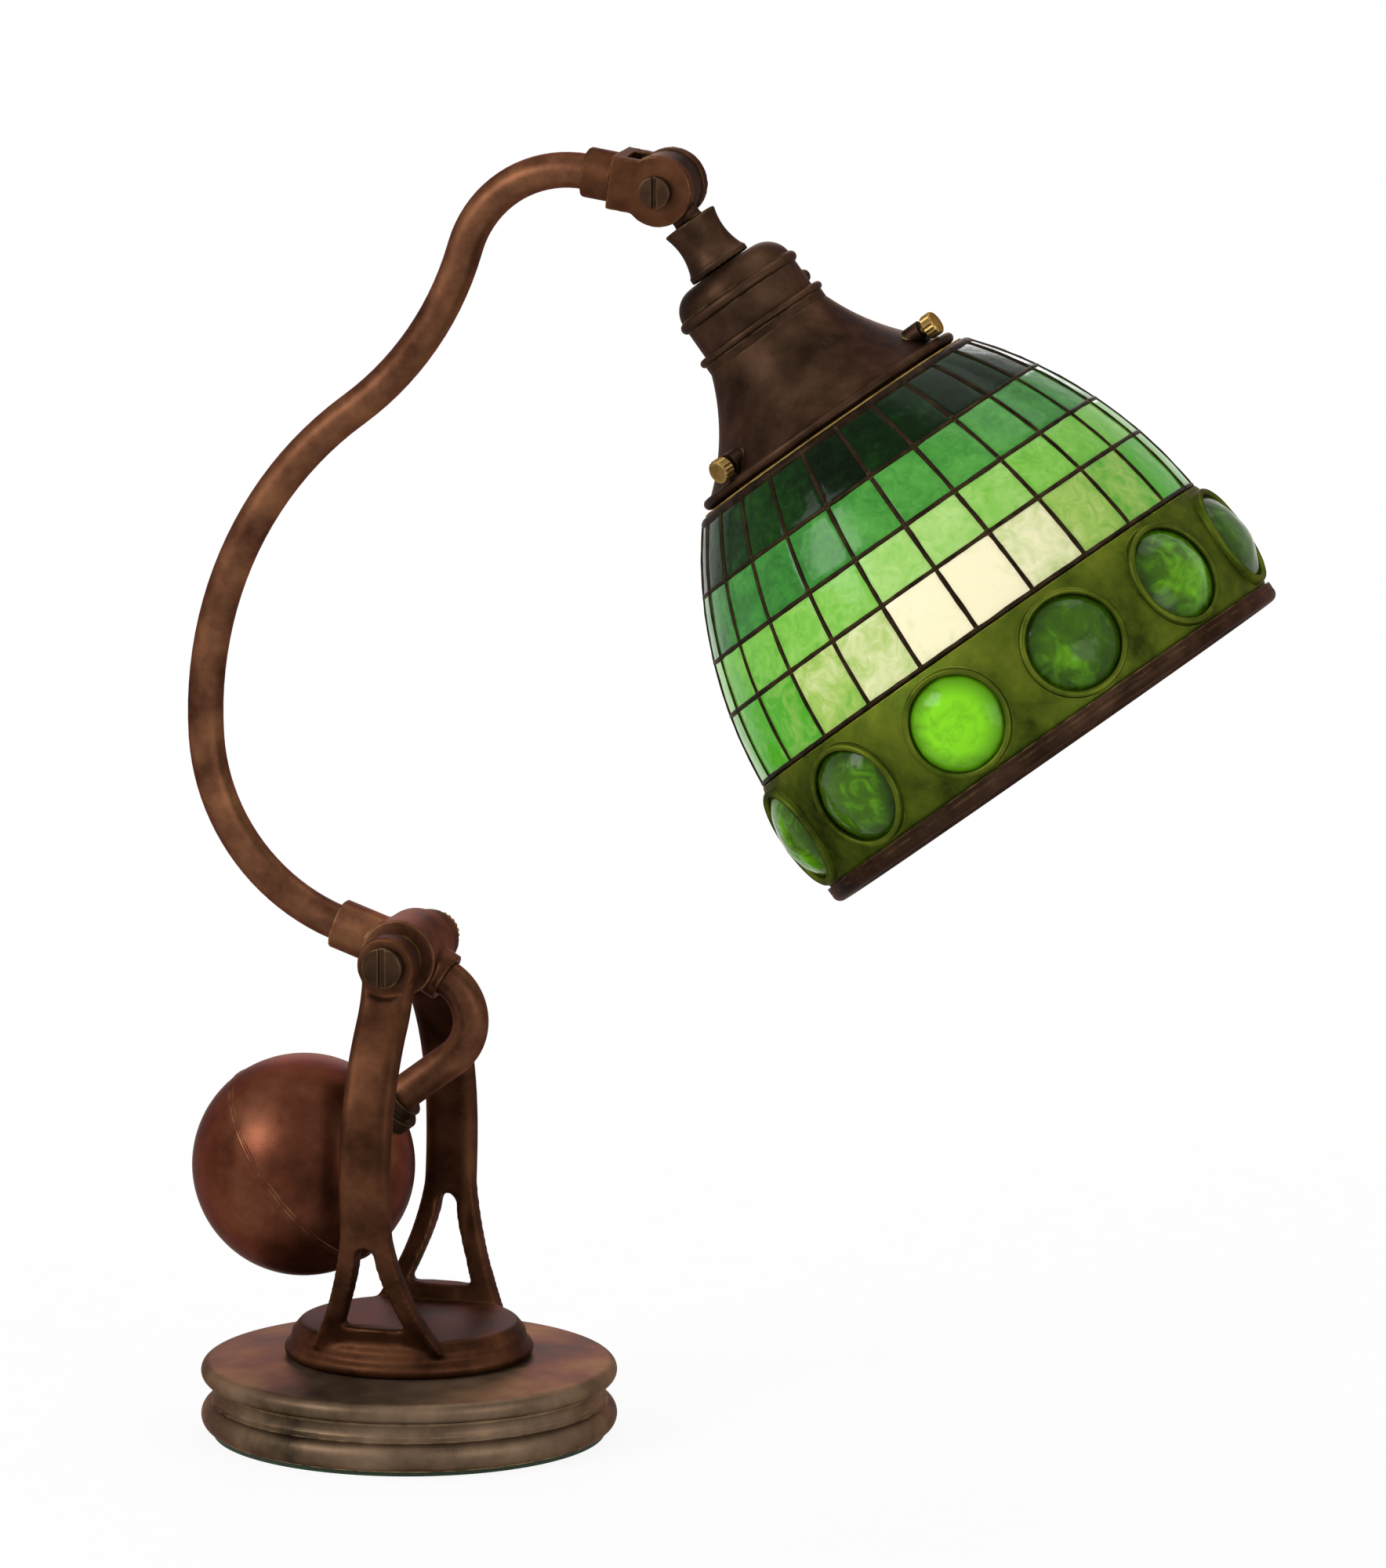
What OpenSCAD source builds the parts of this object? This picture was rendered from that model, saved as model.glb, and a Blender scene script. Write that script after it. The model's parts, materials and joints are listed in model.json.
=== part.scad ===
// Counterbalance desk lamp: a ball on the hooked tail of the arm swings between the two prongs of a fork.
// Millimetres. Origin: centre of the base's underside. +X towards the shade, +Z up.

/* [Base] */
// Diameter of the base drum
base_d = 140; // [120:1:170]
// Height of the base at its centre, felt included
base_h = 27; // [25:1:34]
// Wall and roof thickness of the hollow base casting
base_wall = 5; // [4:0.5:7]
// Thickness of the felt under the base
felt_t = 1.5; // [1:0.5:3]
// Thickness of the steel bottom plate
plate_t = 1.5; // [1:0.5:3]
// Gap between the iron ballast disc and the screw bosses round it
weight_gap = 1; // [0.5:0.5:4]
// Bore of the bush that the flex would pass
inlet_bore_d = 7; // [5:0.5:8]

/* [Fork] */
// Diameter of the fork's round foot
foot_d = 84; // [78:1:100]
// Running room between the ball and each prong
ball_room = 4.5; // [3:0.5:8]
// Thickness of a prong, measured across the fork
prong_t = 8; // [6:0.5:10]
// Width of a prong, seen from the side
prong_w = 18; // [15:0.5:21]
// Width of each of the two legs in which a prong stands on the foot
leg_w = 6.5; // [5:0.5:8]
// Clear width between the two ears
ear_gap = 32; // [28:1:38]
// Diameter of the cross axle
axle_d = 8; // [6:0.5:10]

/* [Arm] */
// Height of the cross axle
pivot_z = 165; // [158:1:190]
// Outside diameter of the arm tube and of the tail rod
tube_d = 12; // [10:0.5:14]
// Wall of the arm tube
tube_wall = 1.5; // [1:0.1:2.5]
// Direction in which the arm leaves the axle, degrees up from +X
arm_start = 161.2; // [156:0.1:168]
// Radius of the lowest bend of the arm
bend_1_r = 69; // [60:1:84]
// Radius of the long bend in the middle of the arm
bend_2_r = 134; // [118:1:160]
// Radius of the counter bend near the top
bend_3_r = 112; // [94:1:134]
// Radius of the bend over the top
bend_4_r = 39.6; // [34:0.1:46]
// Radius of the arm's knuckle on the axle
knuckle_r = 13; // [12:0.5:15]
// Width of the arm's knuckle along the axle
knuckle_w = 22; // [18:1:24]

/* [Counterweight] */
// Diameter of the ball
ball_d = 75; // [62:1:80]
// Straight run of the tail rod from its bend to the ball's centre
tail_run = 66.3; // [60:0.1:80]
// Radius of the tail's hook
tail_bend_r = 16.5; // [14:0.5:20]
// Wall of the two half shells of the ball
ball_wall = 1.5; // [1:0.1:3]

/* [Shade knuckle] */
// Lean of the shade's axis from upright
head_lean = 37; // [30:1:44]
// Radius of the tongue between the clevis cheeks
tongue_r = 11.5; // [10:0.5:13]
// Thickness of the tongue
tongue_t = 10; // [8:0.5:12]
// Thickness of each clevis cheek
cheek_t = 4.2; // [3:0.2:6]
// Diameter of the friction bolt
tilt_bolt_d = 6; // [5:0.5:8]
// Distance from the friction bolt to the bead of the socket cup
neck_len = 42.3; // [40:0.1:50]

/* [Shade] */
// Largest diameter of the shade's belt, without the domes of the tiles
belt_d = 183; // [176:1:200]
// Radius of the shade's long dome curve
dome_r = 150.85; // [145:0.05:160]
// Thickness of the glass panes
pane_t = 2.4; // [2:0.1:3.5]
// Width of a lead line on the face of the shade
came_w = 2.2; // [1.5:0.1:3]
// Number of ribs round the shade
rib_n = 24; // [20:1:26]
// Number of round tiles in the belt
tile_n = 12; // [10:1:12]
// Diameter of a round tile
tile_d = 32.6; // [28:0.1:34]
// Height of a tile's dome above its edge
tile_dome = 6; // [4:0.5:8]
// Diameter of the lamp bulb
bulb_d = 60; // [50:1:66]

/* [Fits] */
// Radial running clearance on the moving pins
run_c = 0.06; // [0.03:0.01:0.09]
// Gap between pieces of one body that seat on each other
seat_c = 0.1; // [0.05:0.01:0.15]
// Gap between faces that move past each other
slide_c = 0.3; // [0.25:0.05:0.5]

/* [Hidden] */
$fn = 72;

bronze = [0.42, 0.28, 0.2];
dark_bronze = [0.3, 0.2, 0.15];
ball_bronze = [0.5, 0.26, 0.18];
brass = [0.72, 0.56, 0.28];
steel = [0.6, 0.6, 0.62];
iron = [0.2, 0.2, 0.21];
green = [0.2, 0.5, 0.22];
pale = [0.83, 0.84, 0.66];
lime = [0.4, 0.75, 0.12];

// Base
base_r = base_d / 2;
bead_r = 3.5;
band_r = 5;
cove_r = 3.6;
shoulder_z = base_h - 2;
plate_top = felt_t + plate_t;
roof_z = base_h - base_wall - 1.5;
hollow_r = base_r - bead_r - base_wall;
boss_r = 5;
boss_at = hollow_r - boss_r - 1.5;
plate_screw_r = 1.6;
plate_screw_n = 3;
inlet_z = (plate_top + roof_z) / 2;
bush_wall = 1.5;
stem_r = 6;
weight_z = plate_top + 6.5;
weight_r = boss_at - boss_r - weight_gap;
nut_flats = 10;

// Fork
ball_r = ball_d / 2;
prong_mid = ball_r + ball_room + prong_t / 2;
foot_r = foot_d / 2;

// Tail of the arm, which sets how far the ball hangs from the axle
tail_start = -30;
tail_straight = 16;
tail_turn = -112.8;
tail_path = walk([0, pivot_z], tail_start, tail_straight, [[tail_bend_r, tail_turn]]);
tail_end = tail_path[1];
tail_head = tail_end[1];
ball_at = tail_end[0] + tail_run * [cos(tail_head), sin(tail_head)];
ball_swing = norm(ball_at - [0, pivot_z]);
ball_low = pivot_z - ball_swing - ball_r;
saddle_z = ball_low - ball_room;

// Each prong bows out round the ball in a low and a high arc, and turns upright again at its ear
ear_t = prong_t + 1;
ear_r = prong_w / 2 + 1;
ear_mid = (ear_gap + ear_t) / 2;
ear_out = ear_gap / 2 + ear_t;
bow_z = pivot_z - ball_swing + 15;
bow_in = prong_mid - ear_mid;
bow_up = pivot_z - bow_z;
bow_sum = (bow_up * bow_up + bow_in * bow_in) / (2 * bow_in);
bow_angle = asin(bow_up / bow_sum);
ear_bend_r = 30;
bow_r = bow_sum - ear_bend_r;
low_r = 130;
bow_down = asin((bow_z - saddle_z + 5) / low_r);

// Seen from the side, a prong flares into its foot and opens there into two legs
flare_r = 110;
flare_top = bow_z - 4;
flare_neck = prong_w / 2 - 1.5;
open_low = saddle_z + 5;
open_top = saddle_z + 31;

// Arm
arm_straight = 26;
bends = [[bend_1_r, -67.7], [bend_2_r, -56.1], [bend_3_r, 36.3], [bend_4_r, -81.2]];
arm_end_run = 27.1;
arm_path = walk([0, pivot_z], arm_start, arm_straight, bends);
arm_last = arm_path[len(bends)];
arm_end_dir = arm_last[1];
head_at = arm_last[0] + arm_end_run * [cos(arm_end_dir), sin(arm_end_dir)];
socket_wall = 2.5;
tube_in_knuckle = knuckle_r + 1;
tube_in_clevis = tongue_r + 4;
socket_len = 12;

// Pieces on the cross axle, measured from the arm's plane outwards
washer_t = 1;
axle_head_t = 3.5;
nut_t = 7;
nut_r = 8;

// Shade knuckle
slot_half = tongue_t / 2 + slide_c;
cheek_out = max(slot_half + cheek_t, tube_d / 2 + socket_wall);
clevis_r = tongue_r + 0.5;
tilt_nut_t = 7;

// Shade, in millimetres along its axis from the bead of the socket cup
tile_r = tile_d / 2;
bezel_w = 1.8;
window_r = tile_r + bezel_w + 2 * seat_c;
belt_s = 160.5;
belt_r = 55;
belt_c = belt_d / 2 - belt_r;
belt_t = 2.4;
belt_top = belt_s - window_r - 1.8;
belt_bottom = belt_s + window_r + 1.2;
ring_s = [57, 77, 97, 114.5, belt_top - 1.5];
dome_s = 151.8;
dome_step = 1.0982;
dome_c = belt_at(belt_top) - dome_step - sqrt(dome_r * dome_r - pow(ring_s[4] - dome_s, 2));
cup_r = 21.5;
cup_wall = 1.5;
cup_end = 19;
cap_s = -10;
cap_c = 97.5;
cap_arc = 79.4;
cap_wall = 1.6;
cap_end = 53;
screw_s = 46.5;
screw_n = 3;
screw_r = 2;
knob_r = 4.2;
knob_gap = 0.9;
collar_s = 45.2;
collar_r = 37;
ring_half = 1;
came_out = 0.7;
tile_edge = belt_d / 2 - 2;
window_start = tile_edge - 16.5;
tile_phase = 23.5;
rim_s = belt_bottom + 2.2;
rim_r = 2.8;
key_s = 7.5;
key_r = 2;
bulb_s = 108;
bulb_r = bulb_d / 2;
base_screw_r = 13.2;

// Points and headings along a bent rod in the X-Z plane: a straight start, then bends of [radius, turn].
function side(h) = [-sin(h), cos(h)];
function bend_end(p, h, b) = p + b[0] * sign(b[1]) * (side(h) - side(h + b[1]));
function walk(p, h, start, b, i = 0) =
    let (q = i == 0 ? p + start * [cos(h), sin(h)] : p)
    i == len(b) ? [[q, h]] : concat([[q, h]], walk(bend_end(q, h, b[i]), h + b[i][1], start, b, i + 1));

// Radius of the shade's outer face at a height along its axis
function dome_at(s) = dome_c + sqrt(dome_r * dome_r - (s - dome_s) * (s - dome_s));
function belt_at(s) = belt_c + sqrt(belt_r * belt_r - (s - belt_s) * (s - belt_s));
function cap_at(s) = cap_c - sqrt(cap_arc * cap_arc - (s - cap_s) * (s - cap_s));

// A round bar along Y
module y_bar(y0, y1, r) {
    translate([0, y1, 0]) rotate([90, 0, 0]) cylinder(h = y1 - y0, r = r);
}

// A round bar that starts at a point of the X-Z plane and runs along a heading
module run(p, h, from, to, r) {
    translate([p[0], 0, p[1]]) rotate([0, 90 - h, 0]) translate([0, 0, from]) cylinder(h = to - from, r = r);
}

// One bend of a rod, with its section as children
module bend(p, h, b) {
    c = p + b[0] * sign(b[1]) * side(h);
    first = b[1] > 0 ? h - 90 : h + 90 + b[1];
    translate([c[0], 0, c[1]]) rotate([90, 0, 0]) rotate([0, 0, first])
        rotate_extrude(angle = abs(b[1])) translate([b[0], 0]) children();
}

module at_pivot() { translate([0, 0, pivot_z]) children(); }
module at_head() { translate([head_at[0], 0, head_at[1]]) children(); }

// The shade's own frame: its origin is the bead of the socket cup and +Z runs down the shade's axis
module on_head() {
    at_head() rotate([0, 180 - head_lean, 0]) translate([0, 0, neck_len]) children();
}

module knob(r, t, bore, flutes) {
    difference() {
        union() {
            y_bar(0, t * 0.7, r);
            y_bar(0, t, bore + 1.8);
        }
        for (k = [0 : flutes - 1]) rotate([0, k * 360 / flutes, 0]) translate([r, 0, 0])
            y_bar(-1, t * 0.7 + 1, r * 0.16);
        y_bar(-1, t + 1, bore);
    }
}

module base_casting() {
    color(bronze) difference() {
        rotate_extrude() difference() {
            union() {
                translate([0, felt_t]) square([base_r - cove_r, shoulder_z - felt_t]);
                translate([base_r - bead_r, shoulder_z - bead_r]) circle(bead_r);
                translate([base_r - band_r, felt_t + band_r]) circle(band_r);
                polygon([[0, felt_t + band_r], [base_r - bead_r, shoulder_z], [foot_r + 2, base_h], [0, base_h]]);
            }
            translate([base_r - 0.6, shoulder_z - 2 * bead_r - cove_r + 0.8]) circle(cove_r);
            translate([0, felt_t - 1]) square([hollow_r, roof_z - felt_t + 1]);
            translate([0, roof_z - 1]) square([stem_r + seat_c, base_wall + 4]);
        }
        translate([0, 0, inlet_z]) y_bar(hollow_r - 2, base_r + 1, inlet_bore_d / 2 + bush_wall + seat_c);
        translate([0, 0, inlet_z]) y_bar(base_r - 3.5, base_r + 1, inlet_bore_d / 2 + bush_wall + 2.2);
    }
    color(bronze) for (k = [0 : plate_screw_n - 1]) rotate([0, 0, 30 + k * 360 / plate_screw_n])
        translate([boss_at, 0, 0]) difference() {
            translate([0, 0, plate_top + seat_c]) cylinder(h = roof_z - plate_top - seat_c + 0.5, r = boss_r);
            translate([0, 0, 0]) cylinder(h = plate_top + 9, r = plate_screw_r + seat_c);
        }
}

module base_weight() {
    color(iron) rotate_extrude() difference() {
        translate([stem_r + seat_c, weight_z]) square([weight_r - stem_r - seat_c, roof_z - weight_z - seat_c]);
        translate([weight_r, weight_z]) rotate(45) square(3, center = true);
    }
}

module bottom_plate() {
    color(steel) difference() {
        translate([0, 0, felt_t + seat_c / 2]) cylinder(h = plate_t, r = hollow_r - seat_c);
        for (k = [0 : plate_screw_n - 1]) rotate([0, 0, 30 + k * 360 / plate_screw_n])
            translate([boss_at, 0, 0]) cylinder(h = plate_top + 1, r = plate_screw_r + seat_c);
    }
}

module plate_screws() {
    color(steel) for (k = [0 : plate_screw_n - 1]) rotate([0, 0, 30 + k * 360 / plate_screw_n])
        translate([boss_at, 0, felt_t + 0.02]) {
            cylinder(h = plate_t + 7, r = plate_screw_r);
        }
}

module felt_pad() {
    color([0.2, 0.24, 0.18]) cylinder(h = felt_t, r = base_r - 4);
}

module cord_inlet_bush() {
    color(iron) translate([0, 0, inlet_z]) difference() {
        union() {
            y_bar(hollow_r - 1.5, base_r - 2, inlet_bore_d / 2 + bush_wall);
            y_bar(base_r - 3.4, base_r - 1.4, inlet_bore_d / 2 + bush_wall + 2);
        }
        y_bar(hollow_r - 3, base_r + 1, inlet_bore_d / 2);
    }
}

module stem_bolt() {
    color(steel) translate([0, 0, plate_top + 1]) cylinder(h = saddle_z - 4 - plate_top - 1, r = stem_r);
}

module stem_washer() {
    color(steel) translate([0, 0, weight_z - 1.3]) difference() {
        cylinder(h = 1.2, r = 12);
        translate([0, 0, -1]) cylinder(h = 4, r = stem_r + seat_c);
    }
}

module stem_nut() {
    color(steel) translate([0, 0, weight_z - 5.3]) difference() {
        cylinder(h = 3.9, r = nut_flats, $fn = 6);
        translate([0, 0, -1]) cylinder(h = 6, r = stem_r + seat_c);
    }
}

// The section of a prong: a bar with round edges
module prong_section(more = 0) {
    flat = prong_w - prong_t;
    square([prong_t + 2 * more, flat], center = true);
    for (m = [-1, 1]) translate([0, m * flat / 2]) circle(d = prong_t + 2 * more);
}

// An arc in the plane of the two prongs, from one angle to another, with its section as children
module prong_arc(y, z, from, to) {
    translate([0, y, z]) rotate([90, 0, 90]) rotate([0, 0, from]) rotate_extrude(angle = to - from) children();
}

// A hair-thin band that laps the joint of two arcs
module prong_lap(angle) {
    translate([0, prong_mid - bow_r, bow_z]) rotate([90, 0, 90]) rotate([0, 0, angle]) translate([bow_r, 0, 0])
        rotate([90, 0, 0]) linear_extrude(1, center = true) prong_section(0.03);
}

module prong() {
    prong_lap(0);
    prong_lap(bow_angle);
    prong_arc(prong_mid - low_r, bow_z, -bow_down, 0) translate([low_r, 0]) prong_section();
    prong_arc(prong_mid - bow_r, bow_z, 0, bow_angle) translate([bow_r, 0]) prong_section();
    prong_arc(ear_mid + ear_bend_r, pivot_z, 180, 180 + bow_angle) translate([ear_bend_r, 0]) prong_section();
}

// The two sides of a flare, drawn in the side view as circles
module flare_sides(r) {
    for (m = [-1, 1]) translate([m * (flare_r + flare_neck), flare_top]) circle(r, $fn = 180);
}

// The flare that spreads a prong into the foot: its arc seen along the arm, its spread seen from the side
module prong_flare() {
    slim = 0.8;
    intersection() {
        prong_arc(prong_mid - low_r, bow_z, -bow_down, 0)
            translate([low_r - prong_t / 2 + slim, -foot_r]) square([prong_t - 2 * slim, 2 * foot_r]);
        rotate([90, 0, 0]) translate([0, 0, -2 * foot_r]) linear_extrude(2 * foot_r) difference() {
            translate([-foot_r + 3, saddle_z - 4]) square([2 * foot_r - 6, flare_top - saddle_z + 4]);
            flare_sides(flare_r);
        }
    }
}

// The opening that parts each prong into two legs above the foot
module leg_opening() {
    leg_side = flare_r + leg_w;
    drop = flare_top - open_top + 1;
    rotate([90, 0, 0]) translate([0, 0, -2 * foot_r]) linear_extrude(4 * foot_r) {
        difference() {
            translate([-foot_r, open_low]) square([2 * foot_r, open_top - open_low]);
            flare_sides(leg_side);
        }
        translate([0, open_top]) circle(flare_r + flare_neck - sqrt(leg_side * leg_side - drop * drop), $fn = 48);
    }
}

module fork() {
    lip = 2.5;
    color(bronze) difference() {
        union() {
            for (m = [0, 1]) mirror([0, m, 0]) {
                prong();
                prong_flare();
                at_pivot() y_bar(ear_gap / 2, ear_out, ear_r);
            }
            rotate_extrude() difference() {
                union() {
                    translate([0, base_h]) square([foot_r - lip, saddle_z - base_h]);
                    translate([foot_r - lip, base_h + lip]) circle(lip);
                    translate([0, base_h]) square([foot_r - lip, lip]);
                }
                translate([foot_r + 5, saddle_z + 6]) circle(12);
            }
        }
        translate([0, 0, base_h - 1]) cylinder(h = saddle_z - 3 - base_h, r = stem_r + seat_c);
        at_pivot() y_bar(-ear_out - 1, ear_out + 1, axle_d / 2 + seat_c);
        for (m = [0, 1]) mirror([0, m, 0]) at_pivot() y_bar(ear_out, ear_out + prong_t, ear_r + 1);
        leg_opening();
        translate([0, 0, base_h - 10]) cube([3 * foot_d, 3 * foot_d, 20], center = true);
    }
}

module pivot_axle() {
    color(dark_bronze) at_pivot() difference() {
        union() {
            y_bar(-ear_out - 0.5, ear_out + nut_t + 3, axle_d / 2);
            y_bar(-ear_out - axle_head_t, -ear_out - seat_c, axle_d / 2 + 3);
        }
        translate([0, -ear_out - axle_head_t, 0]) cube([2, 2.4, 30], center = true);
    }
}

module pivot_washers() {
    color(brass) at_pivot() for (y = [-knuckle_w / 2 - slide_c - washer_t, knuckle_w / 2 + slide_c,
        ear_out + seat_c]) difference() {
            y_bar(y, y + washer_t, axle_d / 2 + 4.5);
            y_bar(y - 1, y + washer_t + 1, axle_d / 2 + seat_c);
        }
}

module axle_sleeves() {
    inner = knuckle_w / 2 + slide_c + washer_t + seat_c;
    color(bronze) at_pivot() for (m = [0, 1]) mirror([0, m, 0]) difference() {
        y_bar(inner, ear_gap / 2 - seat_c, axle_d / 2 + 2.5);
        y_bar(inner - 1, ear_gap / 2 + 1, axle_d / 2 + seat_c);
    }
}

module pivot_thumb_nut() {
    color(brass) at_pivot() translate([0, ear_out + seat_c + washer_t + slide_c, 0])
        knob(nut_r, nut_t, axle_d / 2 + run_c, 12);
}

module arm_knuckle() {
    tube_r = tube_d / 2;
    color(bronze) difference() {
        union() {
            at_pivot() y_bar(-knuckle_w / 2, knuckle_w / 2, knuckle_r);
            run([0, pivot_z], arm_start, 0, tube_in_knuckle + socket_len, tube_r + socket_wall);
            run([0, pivot_z], tail_start, 0, tail_straight, tube_r + socket_wall);
        }
        at_pivot() y_bar(-knuckle_w, knuckle_w, axle_d / 2 + run_c);
        run([0, pivot_z], arm_start, tube_in_knuckle, 2 * tube_in_knuckle + socket_len, tube_r + seat_c);
        run([0, pivot_z], tail_start, axle_d / 2 + 4, 2 * tail_straight, tube_r + seat_c);
    }
}

// A bent rod: straight start, bends, straight end, with a hair-thin bead over each joint of two runs
module bent_rod(path, b, from, start, end_run, r) {
    bead = 0.03;
    last = path[len(b)];
    run([0, pivot_z], path[0][1], from, start, r);
    for (i = [0 : len(b) - 1]) bend(path[i][0], path[i][1], b[i]) circle(r);
    run(last[0], last[1], 0, end_run, r);
    for (q = path) translate([q[0][0], 0, q[0][1]]) sphere(r + bead);
}

module arm_tube() {
    r = tube_d / 2;
    tube_end = arm_end_run - tube_in_clevis;
    color(bronze) difference() {
        bent_rod(arm_path, bends, tube_in_knuckle, arm_straight, tube_end, r);
        bent_rod(arm_path, bends, tube_in_knuckle - 1, arm_straight, tube_end + 1, r - tube_wall);
    }
}

module tail_hook() {
    b = [[tail_bend_r, tail_turn]];
    color(bronze) bent_rod(tail_path, b, axle_d / 2 + 4 + seat_c, tail_straight, tail_run - ball_r / 4, tube_d / 2);
}

// The ball's own frame: +Z points back along the tail rod
module at_ball() {
    translate([ball_at[0], 0, ball_at[1]]) rotate([0, 90 - tail_head + 180, 0]) children();
}

module ball_collar() {
    color(dark_bronze) at_ball() difference() {
        translate([0, 0, ball_r - 3]) union() {
            cylinder(h = 6, r = tube_d / 2 + 5);
            cylinder(h = 10, r = tube_d / 2 + 2.5);
        }
        sphere(r = ball_r + seat_c, $fn = 120);
        cylinder(h = 2 * ball_r, r = tube_d / 2 + seat_c);
    }
}

module ball_half() {
    difference() {
        sphere(r = ball_r, $fn = 120);
        sphere(r = ball_r - ball_wall, $fn = 120);
        translate([0, 0, -2 * ball_r + seat_c / 2]) cube(4 * ball_r, center = true);
    }
}

module ball_shell_upper() {
    color(ball_bronze) at_ball() difference() {
        ball_half();
        cylinder(h = 2 * ball_r, r = tube_d / 2 + seat_c);
    }
}

module ball_shell_lower() {
    color(ball_bronze) at_ball() rotate([180, 0, 0]) ball_half();
}

module ball_core() {
    color(iron) at_ball() difference() {
        sphere(r = ball_r - ball_wall - 0.2, $fn = 120);
        translate([0, 0, ball_r / 4 - 1]) cylinder(h = 2 * ball_r, r = tube_d / 2 + seat_c);
    }
}

module head_clevis() {
    back = tongue_r + 1.5;
    color(bronze) at_head() rotate([0, -arm_end_dir, 0]) difference() {
        union() {
            y_bar(-cheek_out, cheek_out, clevis_r);
            translate([-back - 4, -cheek_out, -clevis_r + 3]) cube([back + 4, 2 * cheek_out, 2 * clevis_r - 6]);
            rotate([0, -90, 0]) cylinder(h = tube_in_clevis + socket_len, r = tube_d / 2 + socket_wall);
        }
        translate([-back, -slot_half, -2 * clevis_r]) cube([4 * clevis_r, 2 * slot_half, 4 * clevis_r]);
        y_bar(-2 * cheek_out, 2 * cheek_out, tilt_bolt_d / 2 + seat_c);
        rotate([0, -90, 0]) translate([0, 0, tube_in_clevis - seat_c])
            cylinder(h = 2 * socket_len, r = tube_d / 2 + seat_c);
    }
}

module tilt_bolt() {
    color(dark_bronze) at_head() difference() {
        union() {
            y_bar(-cheek_out - 1, cheek_out + 13, tilt_bolt_d / 2);
            y_bar(-cheek_out - 3, -cheek_out - seat_c, tilt_bolt_d / 2 + 2.5);
        }
        translate([0, -cheek_out - 3, 0]) cube([1.4, 2.4, 30], center = true);
    }
}

module tilt_washers() {
    color(brass) at_head() for (k = [0, 1]) difference() {
        y_bar(cheek_out + seat_c + k * (washer_t + seat_c), cheek_out + (k + 1) * (washer_t + seat_c),
            tilt_bolt_d / 2 + 3.5 - k);
        y_bar(cheek_out - 1, cheek_out + 5, tilt_bolt_d / 2 + seat_c);
    }
}

module tilt_thumb_nut() {
    color(brass) at_head() translate([0, cheek_out + 2 * (washer_t + seat_c) + slide_c, 0])
        knob(8, tilt_nut_t, tilt_bolt_d / 2 + run_c, 10);
}

module head_tongue() {
    waist_r = tube_d / 2 + 0.5;
    color(bronze) on_head() difference() {
        union() {
            translate([0, 0, -neck_len]) y_bar(-tongue_t / 2, tongue_t / 2, tongue_r);
            translate([0, 0, -neck_len]) cylinder(h = 18, r = tongue_t / 2);
            rotate_extrude() difference() {
                union() {
                    translate([0, -neck_len + clevis_r + 2]) square([waist_r + 4, neck_len - clevis_r - 12]);
                    translate([0, -13]) square([waist_r + 4.5, 3]);
                    translate([0, -12]) square([5, 12]);
                }
                translate([waist_r + 11, -21]) circle(11);
            }
        }
        translate([0, 0, -neck_len]) y_bar(-tongue_t, tongue_t, tilt_bolt_d / 2 + run_c);
        translate([0, 0, -20]) cylinder(h = 30, r = 3);
    }
}

// The round cup that hides the lamp holder: domed top, bead, straight skirt
module socket_cup() {
    top_s = -9.5;
    round_r = 9;
    color(dark_bronze) on_head() difference() {
        rotate_extrude() difference() {
            union() {
                translate([0, top_s]) square([cup_r - round_r, cup_end - top_s]);
                translate([cup_r - round_r, top_s + round_r]) circle(round_r);
                translate([0, top_s + round_r]) square([cup_r, cup_end - top_s - round_r]);
                translate([cup_r - 0.5, 0.5]) circle(2);
            }
            translate([0, top_s + 2]) square([cup_r - round_r, cup_end]);
            translate([cup_r - round_r, top_s + round_r]) circle(round_r - cup_wall);
            translate([0, top_s + round_r]) square([cup_r - cup_wall, cup_end + round_r]);
            translate([0, top_s - 1]) square([5 + seat_c, 5]);
        }
        translate([0, 0, key_s]) y_bar(0, 2 * cup_r, key_r + 1);
    }
}

module holder_shell() {
    color(brass) on_head() difference() {
        translate([0, 0, 0.5]) cylinder(h = 63, r = 18.5);
        translate([0, 0, 1.3]) cylinder(h = 70, r = 17.8);
        translate([0, 0, -1]) cylinder(h = 5, r = 5 + seat_c);
        translate([0, 0, key_s]) y_bar(0, 2 * cup_r, key_r + 0.8);
    }
}

module holder_liner() {
    color([0.6, 0.5, 0.35]) on_head() difference() {
        translate([0, 0, 1.5]) cylinder(h = 60, r = 17.7);
        translate([0, 0, 0]) cylinder(h = 70, r = 16.9);
        translate([0, 0, key_s]) y_bar(0, 2 * cup_r, key_r + 0.8);
    }
}

module holder_body() {
    color([0.9, 0.88, 0.84]) on_head() difference() {
        translate([0, 0, 1.6]) cylinder(h = 37, r = 16.8);
        translate([0, 0, 0]) cylinder(h = 24, r = 4);
        translate([0, 0, 36]) cylinder(h = 5, r = 9);
        translate([0, 0, key_s]) y_bar(6, 2 * cup_r, key_r + run_c);
    }
}

module holder_screw_shell() {
    color(brass) on_head() difference() {
        translate([0, 0, 38.7]) cylinder(h = 24, r = base_screw_r + 1);
        translate([0, 0, 39.7]) cylinder(h = 30, r = base_screw_r + 0.3);
        cylinder(h = 60, r = 5);
    }
}

module holder_contact() {
    color(brass) on_head() {
        translate([0, 0, 36.1]) cylinder(h = 1.2, r = 8.5);
        translate([0, 0, 37]) cylinder(h = 4.7, r = 3);
    }
}

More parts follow.
